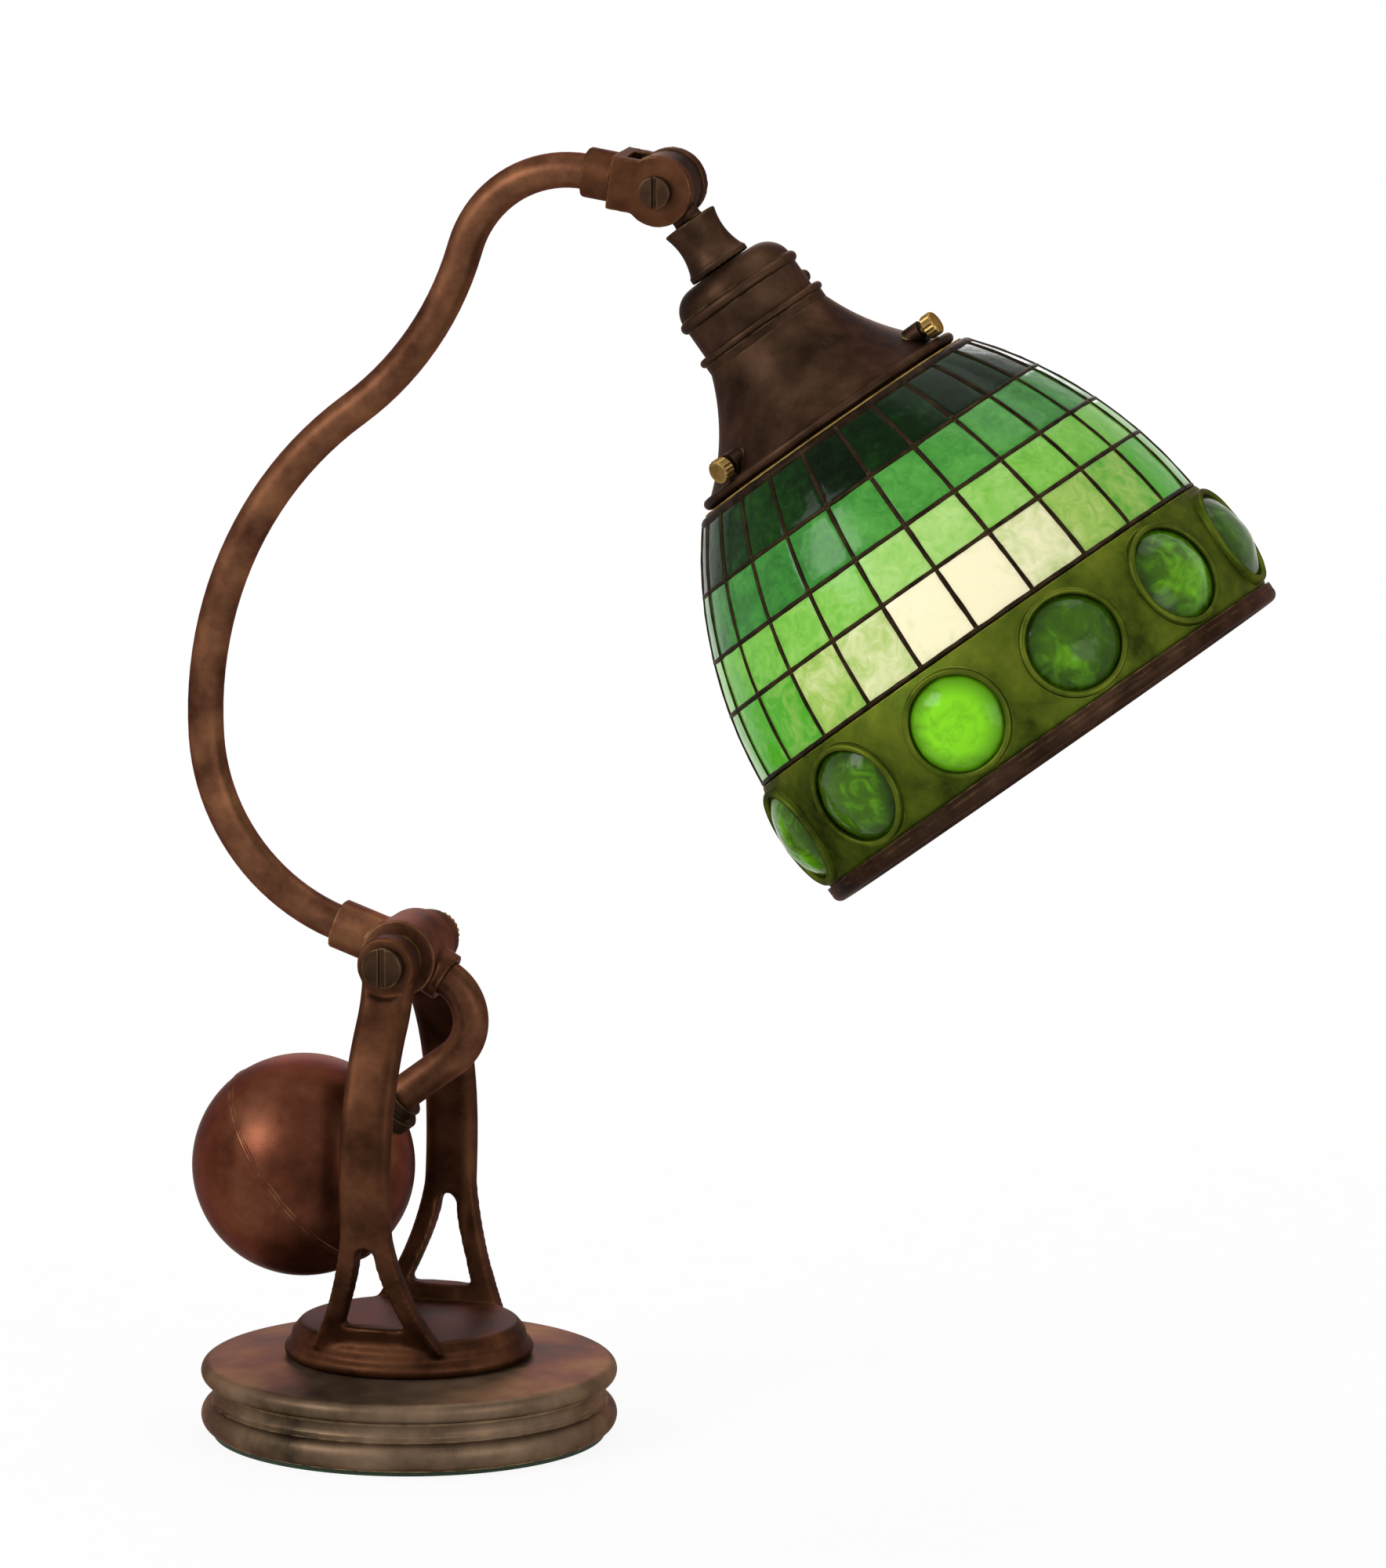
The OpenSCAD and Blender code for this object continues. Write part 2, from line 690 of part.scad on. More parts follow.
// Turn key of the lamp holder, on a stem through the cup's far side
module switch_key() {
    color(dark_bronze) on_head() translate([0, 0, key_s]) {
        y_bar(8, cup_r + 14, key_r);
        y_bar(cup_r + 7, cup_r + 10, 3.2);
        translate([-8, cup_r + 9.5, -1.3]) cube([16, 7, 2.6]);
        for (m = [-8, 8]) translate([m, 0, 0]) y_bar(cup_r + 9.5, cup_r + 16.5, 2.4);
    }
}

module shade_cap() {
    sleeve_s = 13.5;
    color(dark_bronze) on_head() difference() {
        union() {
            rotate_extrude() {
                translate([cup_r + seat_c, sleeve_s]) square([cap_wall, cup_end - sleeve_s + 1]);
                translate([cup_r + seat_c + cap_wall - 0.3, sleeve_s]) circle(1.4);
                intersection() {
                    translate([cap_c, cap_s]) difference() {
                        circle(cap_arc + cap_wall, $fn = 180);
                        circle(cap_arc, $fn = 180);
                    }
                    translate([cup_r + seat_c, cup_end - 1]) square([cap_c / 2, cap_end - cup_end + 1]);
                }
                translate([cap_at(cap_end) - 0.8, cap_end - 0.3]) circle(1.8);
            }
            screw_places() cylinder(h = 6, r = 4);
        }
        translate([0, 0, sleeve_s - 3]) cylinder(h = cup_end, r = cup_r + seat_c);
        screw_places() translate([0, 0, -5]) cylinder(h = 20, r = screw_r + seat_c);
        inside_of_cap();
    }
}

// Clears the screw bosses from the inside of the cap
module inside_of_cap() {
    rotate_extrude() difference() {
        translate([0, cup_end]) square([cap_at(cap_end) - cap_wall, cap_end + 4 - cup_end]);
        translate([cap_c, cap_s]) circle(cap_arc + cap_wall, $fn = 180);
        translate([cap_at(cap_end) - 0.8, cap_end - 0.3]) circle(1.8);
    }
}

module screw_places() {
    for (k = [0 : screw_n - 1]) rotate([0, 0, 180 + k * 360 / screw_n])
        translate([cap_at(screw_s) - 2, 0, screw_s]) rotate([0, 90, 0]) children();
}

module shade_screws() {
    color(brass) on_head() for (k = [0 : screw_n - 1]) rotate([0, 0, 180 + k * 360 / screw_n])
        translate([collar_r + seat_c, 0, screw_s]) rotate([0, 90, 0]) {
            cylinder(h = 14, r = screw_r);
            translate([0, 0, cap_at(screw_s + knob_r) + knob_gap - collar_r]) cylinder(h = 4.5, r = knob_r);
        }
}

module shade_collar() {
    flange_s = ring_s[0] - ring_half - 0.9;
    color(brass) on_head() rotate_extrude() {
        translate([collar_r - 1.5, collar_s]) square([1.5, flange_s - collar_s + 0.5]);
        translate([collar_r - 1.5, flange_s]) square([dome_at(ring_s[0]) - collar_r - 0.5, 0.9 - seat_c]);
    }
}

// A band of the shade's shell between two heights, with its outer and inner faces set off from the dome
module dome_strip(s0, s1, out, t) {
    rotate_extrude() intersection() {
        translate([dome_c, dome_s]) difference() {
            circle(dome_r + out, $fn = 240);
            circle(dome_r + out - t, $fn = 240);
        }
        translate([30, s0]) square([100, s1 - s0]);
    }
}

// The lead lines that run round the shade
module came_rings() {
    color(dark_bronze) on_head() for (s = ring_s)
        dome_strip(s - ring_half, s + ring_half, came_out, pane_t + 2 * came_out);
}

// The short lead lines between two panes of a row, cut to length between the rings
module came_ribs() {
    color(dark_bronze) on_head() for (row = [0 : len(ring_s) - 2]) intersection() {
        dome_strip(ring_s[row] + ring_half, ring_s[row + 1] - ring_half, came_out, pane_t + 2 * came_out);
        for (k = [0 : rib_n - 1]) rotate([0, 0, tile_phase + k * 360 / rib_n])
            translate([30, -came_w / 2, 40]) cube([90, came_w, 110]);
    }
}

// One row of panes between two of the rings
module pane_row(row) {
    on_head() difference() {
        dome_strip(ring_s[row] + ring_half + seat_c, ring_s[row + 1] - ring_half - seat_c, 0, pane_t);
        for (k = [0 : rib_n - 1]) rotate([0, 0, tile_phase + k * 360 / rib_n])
            translate([30, -came_w / 2 - seat_c, 40]) cube([90, came_w + 2 * seat_c, 110]);
    }
}

module glass_top_row() { color(green) pane_row(0); }
module glass_mid_row() { color(green) pane_row(1); }
module glass_low_row() { color(green) pane_row(2); }
module glass_band() { color(pale) pane_row(3); }

module tile_places() {
    for (k = [0 : tile_n - 1]) rotate([0, 0, tile_phase + k * 360 / tile_n])
        translate([0, 0, belt_s]) rotate([0, 90, 0]) children();
}

module belt_frame() {
    color(dark_bronze) on_head() difference() {
        rotate_extrude() intersection() {
            translate([belt_c, belt_s]) difference() {
                circle(belt_r, $fn = 180);
                circle(belt_r - belt_t, $fn = 180);
            }
            translate([60, belt_top - 0.4]) square([60, belt_bottom - belt_top + 0.4]);
        }
        tile_places() translate([0, 0, window_start]) cylinder(h = belt_d, r = window_r);
    }
}

module tile_bezels() {
    color(bronze) on_head() tile_places() translate([0, 0, tile_edge - 5]) rotate_extrude()
        translate([tile_r + seat_c, 0]) {
            square([bezel_w, 6.2]);
            translate([bezel_w / 2, 6.2]) circle(bezel_w / 2, $fn = 24);
        }
}

// A thick round tile with a domed face and a dished back
module belt_tiles() {
    ball = (tile_r * tile_r + tile_dome * tile_dome) / (2 * tile_dome);
    dish = 3;
    dish_r = tile_r - 3;
    hollow = (dish_r * dish_r + dish * dish) / (2 * dish);
    color(lime) on_head() tile_places() rotate_extrude() difference() {
        intersection() {
            translate([0, tile_edge + tile_dome - ball]) circle(ball, $fn = 120);
            translate([0, tile_edge - 4]) square([tile_r, tile_dome + 5]);
        }
        translate([0, tile_edge - 4 + dish - hollow]) circle(hollow, $fn = 120);
    }
}

module rim_ring() {
    band = 4;
    color(dark_bronze) on_head() rotate_extrude() {
        translate([belt_at(belt_bottom) - 1.4, rim_s + 1]) circle(rim_r, $fn = 48);
        translate([belt_at(belt_bottom) - band, belt_bottom + seat_c]) square([band + 1.4, rim_s - belt_bottom]);
    }
}

module bulb_base() {
    wall = 0.8;
    tip_s = 41.8;
    shell_s = 44;
    color(steel) on_head() rotate_extrude() polygon([[0, tip_s], [4, tip_s], [base_screw_r - 2, shell_s],
        [base_screw_r, shell_s], [base_screw_r, 66], [base_screw_r - wall, 66], [base_screw_r - wall, shell_s + wall],
        [0, shell_s + wall]]);
}

module bulb_profile(r, neck, s0) {
    shoulder = bulb_s - bulb_r - 4;
    translate([0, bulb_s]) circle(r);
    polygon([[0, s0], [neck, s0], [neck, shoulder], [r * cos(20), bulb_s - r * sin(20)], [0, bulb_s]]);
}

module bulb_glass() {
    neck_s = 66.1;
    wall = 1;
    color([0.95, 0.95, 0.9]) on_head() rotate_extrude() intersection() {
        difference() {
            bulb_profile(bulb_r, base_screw_r + 0.4, neck_s);
            bulb_profile(bulb_r - wall, base_screw_r + 0.4 - wall, neck_s - 1);
        }
        square([2 * bulb_r, 2 * bulb_s]);
    }
}

base_casting();
base_weight();
bottom_plate();
plate_screws();
felt_pad();
cord_inlet_bush();
stem_bolt();
stem_washer();
stem_nut();
fork();
pivot_axle();
pivot_washers();
axle_sleeves();
pivot_thumb_nut();
arm_knuckle();
arm_tube();
tail_hook();
ball_collar();
ball_shell_upper();
ball_shell_lower();
ball_core();
head_clevis();
tilt_bolt();
tilt_washers();
tilt_thumb_nut();
head_tongue();
socket_cup();
holder_shell();
holder_liner();
holder_body();
holder_screw_shell();
holder_contact();
switch_key();
shade_cap();
shade_screws();
shade_collar();
came_rings();
came_ribs();
glass_top_row();
glass_mid_row();
glass_low_row();
glass_band();
belt_frame();
tile_bezels();
belt_tiles();
rim_ring();
bulb_base();
bulb_glass();
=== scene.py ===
# %% [markdown]
# # A counterbalance desk lamp, step by step
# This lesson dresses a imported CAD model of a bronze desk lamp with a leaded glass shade. The CAD gives the
# true sizes, and Blender adds what a CAD kernel is poor at: soft castings, solder, hand-rolled glass, patina.
# Each step first says what the piece is on the real lamp, then how it is made here and why.

# %% Load the frame
import json
import math
import random

import bpy
from mathutils import Matrix, Vector


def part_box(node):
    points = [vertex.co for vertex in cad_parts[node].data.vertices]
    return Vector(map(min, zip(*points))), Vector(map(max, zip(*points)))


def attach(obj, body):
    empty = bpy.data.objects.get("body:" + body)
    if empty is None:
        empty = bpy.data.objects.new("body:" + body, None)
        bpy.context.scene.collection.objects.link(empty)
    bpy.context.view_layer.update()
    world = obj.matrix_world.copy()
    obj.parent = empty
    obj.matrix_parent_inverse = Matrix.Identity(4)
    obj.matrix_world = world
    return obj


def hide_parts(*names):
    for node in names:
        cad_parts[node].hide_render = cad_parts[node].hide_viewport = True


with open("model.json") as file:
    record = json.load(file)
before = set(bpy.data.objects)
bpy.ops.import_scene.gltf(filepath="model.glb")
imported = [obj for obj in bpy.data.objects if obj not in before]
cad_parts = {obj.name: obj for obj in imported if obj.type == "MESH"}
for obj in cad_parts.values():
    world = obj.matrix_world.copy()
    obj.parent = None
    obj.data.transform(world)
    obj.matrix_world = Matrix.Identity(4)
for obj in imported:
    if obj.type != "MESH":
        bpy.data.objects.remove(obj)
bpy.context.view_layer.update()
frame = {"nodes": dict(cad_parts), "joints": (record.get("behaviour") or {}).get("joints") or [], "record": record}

MM = 0.001
nodes = frame["nodes"]
joints = {joint["name"]: joint for joint in frame["joints"]}

# %% [markdown]
# ## The camera
# A product photographer stands well back with a long lens, so that the lamp keeps its true proportions. The
# photograph looks at the lamp from its right front, a little from above. The shade's rim is seen edge-on, which
# fixes the angle: the line of sight has to lie in the plane of the rim. The picture is as high as 528 mm
# at the lamp, and its centre lies 95.5 mm to the right of the base's centre and 217.7 mm above it.

# %% Place the camera
AZIMUTH = math.radians(18)
ELEVATION = math.radians(12)
CAMERA_DISTANCE = 9.0
PICTURE_HEIGHT = 527.7 * MM
CENTRE_RIGHT = 95.5 * MM
CENTRE_UP = 217.7 * MM
SENSOR_MM = 36

to_camera = Vector((math.sin(AZIMUTH) * math.cos(ELEVATION), -math.cos(AZIMUTH) * math.cos(ELEVATION),
                    math.sin(ELEVATION)))
screen_right = Vector((math.cos(AZIMUTH), math.sin(AZIMUTH), 0))
screen_up = to_camera.cross(screen_right)
target = CENTRE_RIGHT * screen_right + CENTRE_UP * screen_up

bpy.ops.object.select_all(action="DESELECT")
bpy.ops.object.camera_add(location=target + CAMERA_DISTANCE * to_camera,
                          rotation=to_camera.to_track_quat("Z", "Y").to_euler())
camera = bpy.context.object
camera.name = "photo_camera"
camera.data.sensor_width = SENSOR_MM
camera.data.lens = SENSOR_MM * CAMERA_DISTANCE / PICTURE_HEIGHT
bpy.context.scene.camera = camera
print("lens", round(camera.data.lens, 1), "mm")

# %% [markdown]
# ## Colours and nodes
# Colours are picked on a screen as hex codes, which are sRGB, while a shader works in linear light. One function
# turns the one into the other. A second function adds a node, sets it and links it, because a
# material built in Python is mostly that, over and over.

# %% Two helpers for materials
def linear(code, alpha=1.0):
    """Turns an sRGB hex colour such as "6c4732" into the linear colour that a shader reads."""
    shares = [int(code[i:i + 2], 16) / 255 for i in (0, 2, 4)]
    return tuple(c / 12.92 if c <= 0.04045 else ((c + 0.055) / 1.055) ** 2.4 for c in shares) + (alpha,)


def add(tree, kind, settings=None, links=None):
    """Adds one shader node: settings are its properties, plain inputs or a colour ramp, links are its inputs."""
    node = tree.nodes.new("ShaderNode" + kind)
    for key, value in (settings or {}).items():
        if key == "ramp":
            stops = node.color_ramp.elements
            while len(stops) < len(value):
                stops.new(1)
            for stop, (place, colour) in zip(stops, value):
                stop.position = place
                stop.color = colour
        elif isinstance(key, str) and hasattr(node, key):
            setattr(node, key, value)
        else:
            node.inputs[key].default_value = value
    for key, socket in (links or {}).items():
        tree.links.new(socket, node.inputs[key])
    return node


def new_material(name):
    """A material with an empty tree and its object coordinates."""
    material = bpy.data.materials.new(name)
    material.use_nodes = True
    tree = material.node_tree
    tree.nodes.clear()
    place = add(tree, "TexCoord").outputs["Object"]
    return material, tree, place


def finish_material(tree, shader):
    add(tree, "OutputMaterial", links={"Surface": shader.outputs[0]})


# %% [markdown]
# ## The floor and the white studio
# The lamp stands on a plain pale floor in a white studio. To the camera, and in reflections, the surroundings are
# plain white. For all other light they are dimmer, so that the lamp is lit by its soft boxes and
# not washed out. The floor is mostly a glowing white and for a small share a lit one, which keeps the shadow.
# That share fades away from the lamp, so that the floor ends in plain white.

# %% Build the floor and the world
FLOOR_RADIUS = 9.0
# A hair below the felt, so that the two don't lie in one plane
FLOOR_DROP = 0.1 * MM
FLOOR_SHADOW_SHARE = 0.09
SHADOW_FADES_FROM = 0.25
SHADOW_ENDS_AT = 1.6
WORLD_FILL = 0.5

bpy.ops.object.select_all(action="DESELECT")
bpy.ops.mesh.primitive_circle_add(vertices=96, radius=FLOOR_RADIUS, fill_type="NGON",
                                  location=(0, 0, -FLOOR_DROP))
floor = bpy.context.object
floor.name = "studio_floor"


def seen_directly(tree):
    """1 for camera, mirror and glass rays, 0 for the light that the surroundings give."""
    path = add(tree, "LightPath")
    either = add(tree, "Math", {"operation": "MAXIMUM"},
                 {0: path.outputs["Is Camera Ray"], 1: path.outputs["Is Glossy Ray"]})
    return add(tree, "Math", {"operation": "MAXIMUM"}, {0: either.outputs[0], 1: path.outputs["Is Transmission Ray"]})


# Painted studio floor: matt, near white, so that only the shadow shows on it
material, tree, place = new_material("matt_white_studio_floor")
grain = add(tree, "TexNoise", {"Scale": 90.0, "Detail": 3.0}, {"Vector": place})
paint = add(tree, "ValToRGB", {"ramp": [(0.3, linear("eeeeec")), (0.7, linear("f6f6f4"))]},
            {"Fac": grain.outputs["Fac"]})
lit = add(tree, "BsdfDiffuse", links={"Color": paint.outputs["Color"]})
glow = add(tree, "Emission", {"Color": linear("ffffff"), "Strength": 1.0})
from_lamp = add(tree, "VectorMath", {"operation": "LENGTH"}, {0: place})
share = add(tree, "MapRange", {"interpolation_type": "SMOOTHSTEP", "From Min": SHADOW_FADES_FROM,
                               "From Max": SHADOW_ENDS_AT, "To Min": FLOOR_SHADOW_SHARE, "To Max": 0.0},
            {"Value": from_lamp.outputs["Value"]})
part_lit = add(tree, "MixShader", links={0: share.outputs["Result"], 1: glow.outputs[0], 2: lit.outputs[0]})
floor_look = add(tree, "MixShader", links={0: seen_directly(tree).outputs[0], 1: lit.outputs[0],
                                           2: part_lit.outputs[0]})
finish_material(tree, floor_look)
floor.data.materials.append(material)

world = bpy.data.worlds.new("white_studio")
bpy.context.scene.world = world
world.use_nodes = True
tree = world.node_tree
tree.nodes.clear()
fill = add(tree, "Background", {"Color": linear("ffffff"), "Strength": WORLD_FILL})
white = add(tree, "Background", {"Color": linear("ffffff"), "Strength": 1.0})
both = add(tree, "MixShader", links={0: seen_directly(tree).outputs[0], 1: fill.outputs[0], 2: white.outputs[0]})
add(tree, "OutputWorld", links={"Surface": both.outputs[0]})

bpy.context.scene.view_settings.view_transform = "Standard"

# %% [markdown]
# ## Soft boxes
# Four large soft boxes light the lamp: a key from the left front, a weaker fill from the right, one overhead and
# one behind, which keeps the back of the lamp readable.
# A lamp with P watts gives a matt white surface at d metres a brightness of about P / (10 d squared), so the
# watts are worked out from the brightness that each box should add.

# %% Hang the soft boxes
AIM = Vector((0.08, 0, 0.25))
SOFT_BOXES = {
    "key_soft_box": {"from": (-1.1, -1.3, 1.15), "size": 0.8, "brightness": 0.5},
    "fill_soft_box": {"from": (1.5, -0.9, 0.6), "size": 0.9, "brightness": 0.25},
    "top_soft_box": {"from": (0.2, 0.5, 1.7), "size": 1.0, "brightness": 0.25},
    "back_soft_box": {"from": (-0.5, 1.7, 0.8), "size": 0.9, "brightness": 0.25},
}
WATTS_PER_BRIGHTNESS = math.pi ** 2

for name, box in SOFT_BOXES.items():
    spot = Vector(box["from"])
    away = spot - AIM
    bpy.ops.object.light_add(type="AREA", location=spot, rotation=away.to_track_quat("Z", "Y").to_euler())
    light = bpy.context.object
    light.name = name
    light.data.size = box["size"]
    light.data.energy = WATTS_PER_BRIGHTNESS * box["brightness"] * away.length_squared
    print(name, round(light.data.energy, 1), "W")

# %% [markdown]
# ## Patinated bronze
# The lamp's metal is cast and drawn bronze with a brown chemical patina under wax. The eye sees a cloudy brown
# that is never quite even, darker in the corners, and bare golden metal on edges that hands have rubbed.
# Three things are layered here for that: cloudy noise a few centimetres wide, an ambient occlusion mask that
# darkens the corners, which is painted shade along with the patina and old polish that collect there, and a
# mask where a rounded normal differs from the real one, which is only so at edges. Old bronze stays brown where
# it turns away from the eye, while most metals turn white there, so the edge tint of the shader is brown too.

# %% A recipe for patinated bronze
def rubbed_edges(tree, width, place):
    """1 along convex and concave edges, broken up by noise, 0 on open faces."""
    rounded = add(tree, "Bevel", {"samples": 4, "Radius": width})
    true = add(tree, "NewGeometry")
    agree = add(tree, "VectorMath", {"operation": "DOT_PRODUCT"},
                {0: rounded.outputs["Normal"], 1: true.outputs["Normal"]})
    edge = add(tree, "MapRange", {"From Min": 0.995, "From Max": 0.9}, {"Value": agree.outputs["Value"]})
    patchy = add(tree, "TexNoise", {"Scale": 1 / (6 * MM), "Detail": 4.0}, {"Vector": place})
    kept = add(tree, "MapRange", {"From Min": 0.4, "From Max": 0.62}, {"Value": patchy.outputs["Fac"]})
    return add(tree, "Math", {"operation": "MULTIPLY"}, {0: edge.outputs["Result"], 1: kept.outputs["Result"]})


EDGE_TINT = "a0846c"


def patinated_bronze(name, deep, brown, warm, bare, roughness, metal=0.8, cloud=22, grain=0.5):
    """Brown patina in three tones, with bare metal on the edges. cloud and grain are sizes in millimetres."""
    material, tree, place = new_material(name)
    clouds = add(tree, "TexNoise", {"Scale": 1 / (cloud * MM), "Detail": 7.0, "Roughness": 0.62}, {"Vector": place})
    tones = add(tree, "ValToRGB", {"ramp": [(0.3, linear(deep)), (0.5, linear(brown)), (0.72, linear(warm))]},
                {"Fac": clouds.outputs["Fac"]})
    # Painted shade: ambient occlusion darkens the colour in corners, where patina also collects
    corner_occlusion = add(tree, "AmbientOcclusion", {"samples": 6, "only_local": True, "Distance": 7 * MM})
    shade = add(tree, "MapRange", {"From Min": 0.3, "From Max": 0.9, "To Min": 0.5, "To Max": 1.0},
                {"Value": corner_occlusion.outputs["AO"]})
    tones_in_painted_corner_shade = add(tree, "VectorMath", {"operation": "SCALE"},
                   {0: tones.outputs["Color"], "Scale": shade.outputs["Result"]})
    worn = rubbed_edges(tree, 0.9 * MM, place)
    colour = add(tree, "Mix", {"data_type": "RGBA", 7: linear(bare)},
                 {0: worn.outputs[0], 6: tones_in_painted_corner_shade.outputs["Vector"]})
    skin = add(tree, "TexNoise", {"Scale": 1 / (grain * MM), "Detail": 3.0}, {"Vector": place})
    rough = add(tree, "MapRange", {"To Min": roughness - 0.09, "To Max": roughness + 0.13},
                {"Value": clouds.outputs["Fac"]})
    bump = add(tree, "Bump", {"Strength": 0.22, "Distance": 0.12 * MM}, {"Height": skin.outputs["Fac"]})
    shader = add(tree, "BsdfPrincipled", {"Metallic": metal, "Specular IOR Level": 0.15,
                                          "Specular Tint": linear(EDGE_TINT)},
                 {"Base Color": colour.outputs[2], "Roughness": rough.outputs["Result"],
                  "Normal": bump.outputs["Normal"]})
    finish_material(tree, shader)
    return material


# %% The lamp's bronzes
LOOK = {}
# Arm and tail: drawn bronze, brown patina, waxed to a satin
LOOK["bronze"] = patinated_bronze("brown_patinated_bronze", "30190f", "5b3a29", "7d5439", "a67f50", 0.42)
# Base: sand-cast bronze, whose waxed patina is a duller, yellower brown
BASE_BRONZE = patinated_bronze("waxed_cast_bronze", "33291f", "604e3e", "7f6955", "a0875f", 0.44, cloud=34)
# Fork and clevis: the same bronze, drawn darker
FORK_BRONZE = patinated_bronze("dark_cast_bronze", "22120a", "43281a", "5d3b27", "8c683c", 0.46)
# Shade metalwork: the same patina, left longer, nearly black-brown
LOOK["dark_bronze"] = patinated_bronze("dark_patinated_bronze", "19100b", "34241a", "4c372a", "785f40", 0.44)
# Belt of the shade: bronze that turned olive, as copper alloys do where they are seldom touched
BELT_BRONZE = patinated_bronze("olive_patinated_bronze", "232a0a", "455315", "62691f", "848038", 0.46)
# Ball: spun half shells with a redder patina, polished by hand
LOOK["ball_bronze"] = patinated_bronze("red_patinated_bronze", "2a150e", "532d1f", "6e4331", "8e6446", 0.34,
                                       cloud=30, grain=0.8)
# Thumb nuts, washers and screws: turned brass gone dull
LOOK["brass"] = patinated_bronze("aged_brass", "5a4526", "80663a", "9c854c", "c2a262", 0.36, metal=0.9, cloud=8)
print("bronzes", sorted(LOOK))

# %% [markdown]
# ## Hidden metals and small fittings
# Under the base and in the lamp holder are cast iron, zinc-plated steel, porcelain, fibre board, rubber and
# felt. They show only from below or inside, but a finish that is true there keeps those views honest.

# %% Iron, steel, porcelain, fibre, rubber and felt
def plain_finish(name, dark, light, roughness, grain, metal=0.0, bump_mm=0.05, spread=0.1):
    """A finish of two near tones with a grain of a real size in millimetres."""
    material, tree, place = new_material(name)
    noise = add(tree, "TexNoise", {"Scale": 1 / (grain * MM), "Detail": 4.0}, {"Vector": place})
    colour = add(tree, "ValToRGB", {"ramp": [(0.35, linear(dark)), (0.65, linear(light))]},
                 {"Fac": noise.outputs["Fac"]})
    rough = add(tree, "MapRange", {"To Min": roughness - spread, "To Max": roughness + spread},
                {"Value": noise.outputs["Fac"]})
    bump = add(tree, "Bump", {"Strength": 0.5, "Distance": bump_mm * MM}, {"Height": noise.outputs["Fac"]})
    shader = add(tree, "BsdfPrincipled", {"Metallic": metal},
                 {"Base Color": colour.outputs["Color"], "Roughness": rough.outputs["Result"],
                  "Normal": bump.outputs["Normal"]})
    finish_material(tree, shader)
    return material


# Sand-cast iron, painted black: coarse and dull
LOOK["iron"] = plain_finish("black_cast_iron", "1c1c1d", "2c2c2d", 0.7, 1.5, bump_mm=0.2)
# Rolled steel with bright zinc plating: pale, slightly cloudy
LOOK["steel"] = plain_finish("zinc_plated_steel", "8d8e8f", "a9aaab", 0.35, 6, metal=1.0)
# Pressed wool felt: no shine at all
LOOK["felt"] = plain_finish("green_wool_felt", "1d2a1a", "2e3f29", 0.92, 0.8, bump_mm=0.3, spread=0.05)
# Moulded black rubber
LOOK["bush"] = plain_finish("black_rubber", "101010", "1c1b1a", 0.6, 2)
# Vulcanised fibre board
LOOK["liner"] = plain_finish("fibre_board", "6e573a", "8a7250", 0.8, 1.2)
# Glazed porcelain: white under a hard clear glaze
LOOK["porcelain"] = plain_finish("glazed_porcelain", "d9d4c8", "e6e2d8", 0.2, 9)

# %% [markdown]
# ## Solder
# The panes are held by lead lines: strips of metal round each pane, joined with solder and patinated
# dark. Solder is softer than bronze and was laid by hand, so it is duller and has small ripples.

# %% Patinated solder
LOOK["lead"] = patinated_bronze("patinated_solder", "110c08", "21180f", "33271a", "5a4a2f", 0.46, metal=0.6,
                                cloud=7, grain=1.2)

# %% [markdown]
# ## Opalescent glass
# The shade's glass is opalescent: white glass stirred into green while both are molten, then rolled into a sheet.
# It lets light through but can't be seen through. The eye sees streaks and clouds of lighter and darker
# green under a wet-looking surface with low ripples. Each pane was cut from another place of the sheet,
# so each carries its own tone as an attribute of its mesh, and the streaks are shifted by it. A second
# attribute, rim, is 1 at the thick edge of a pressed tile, where the glass is deeper and so darker.

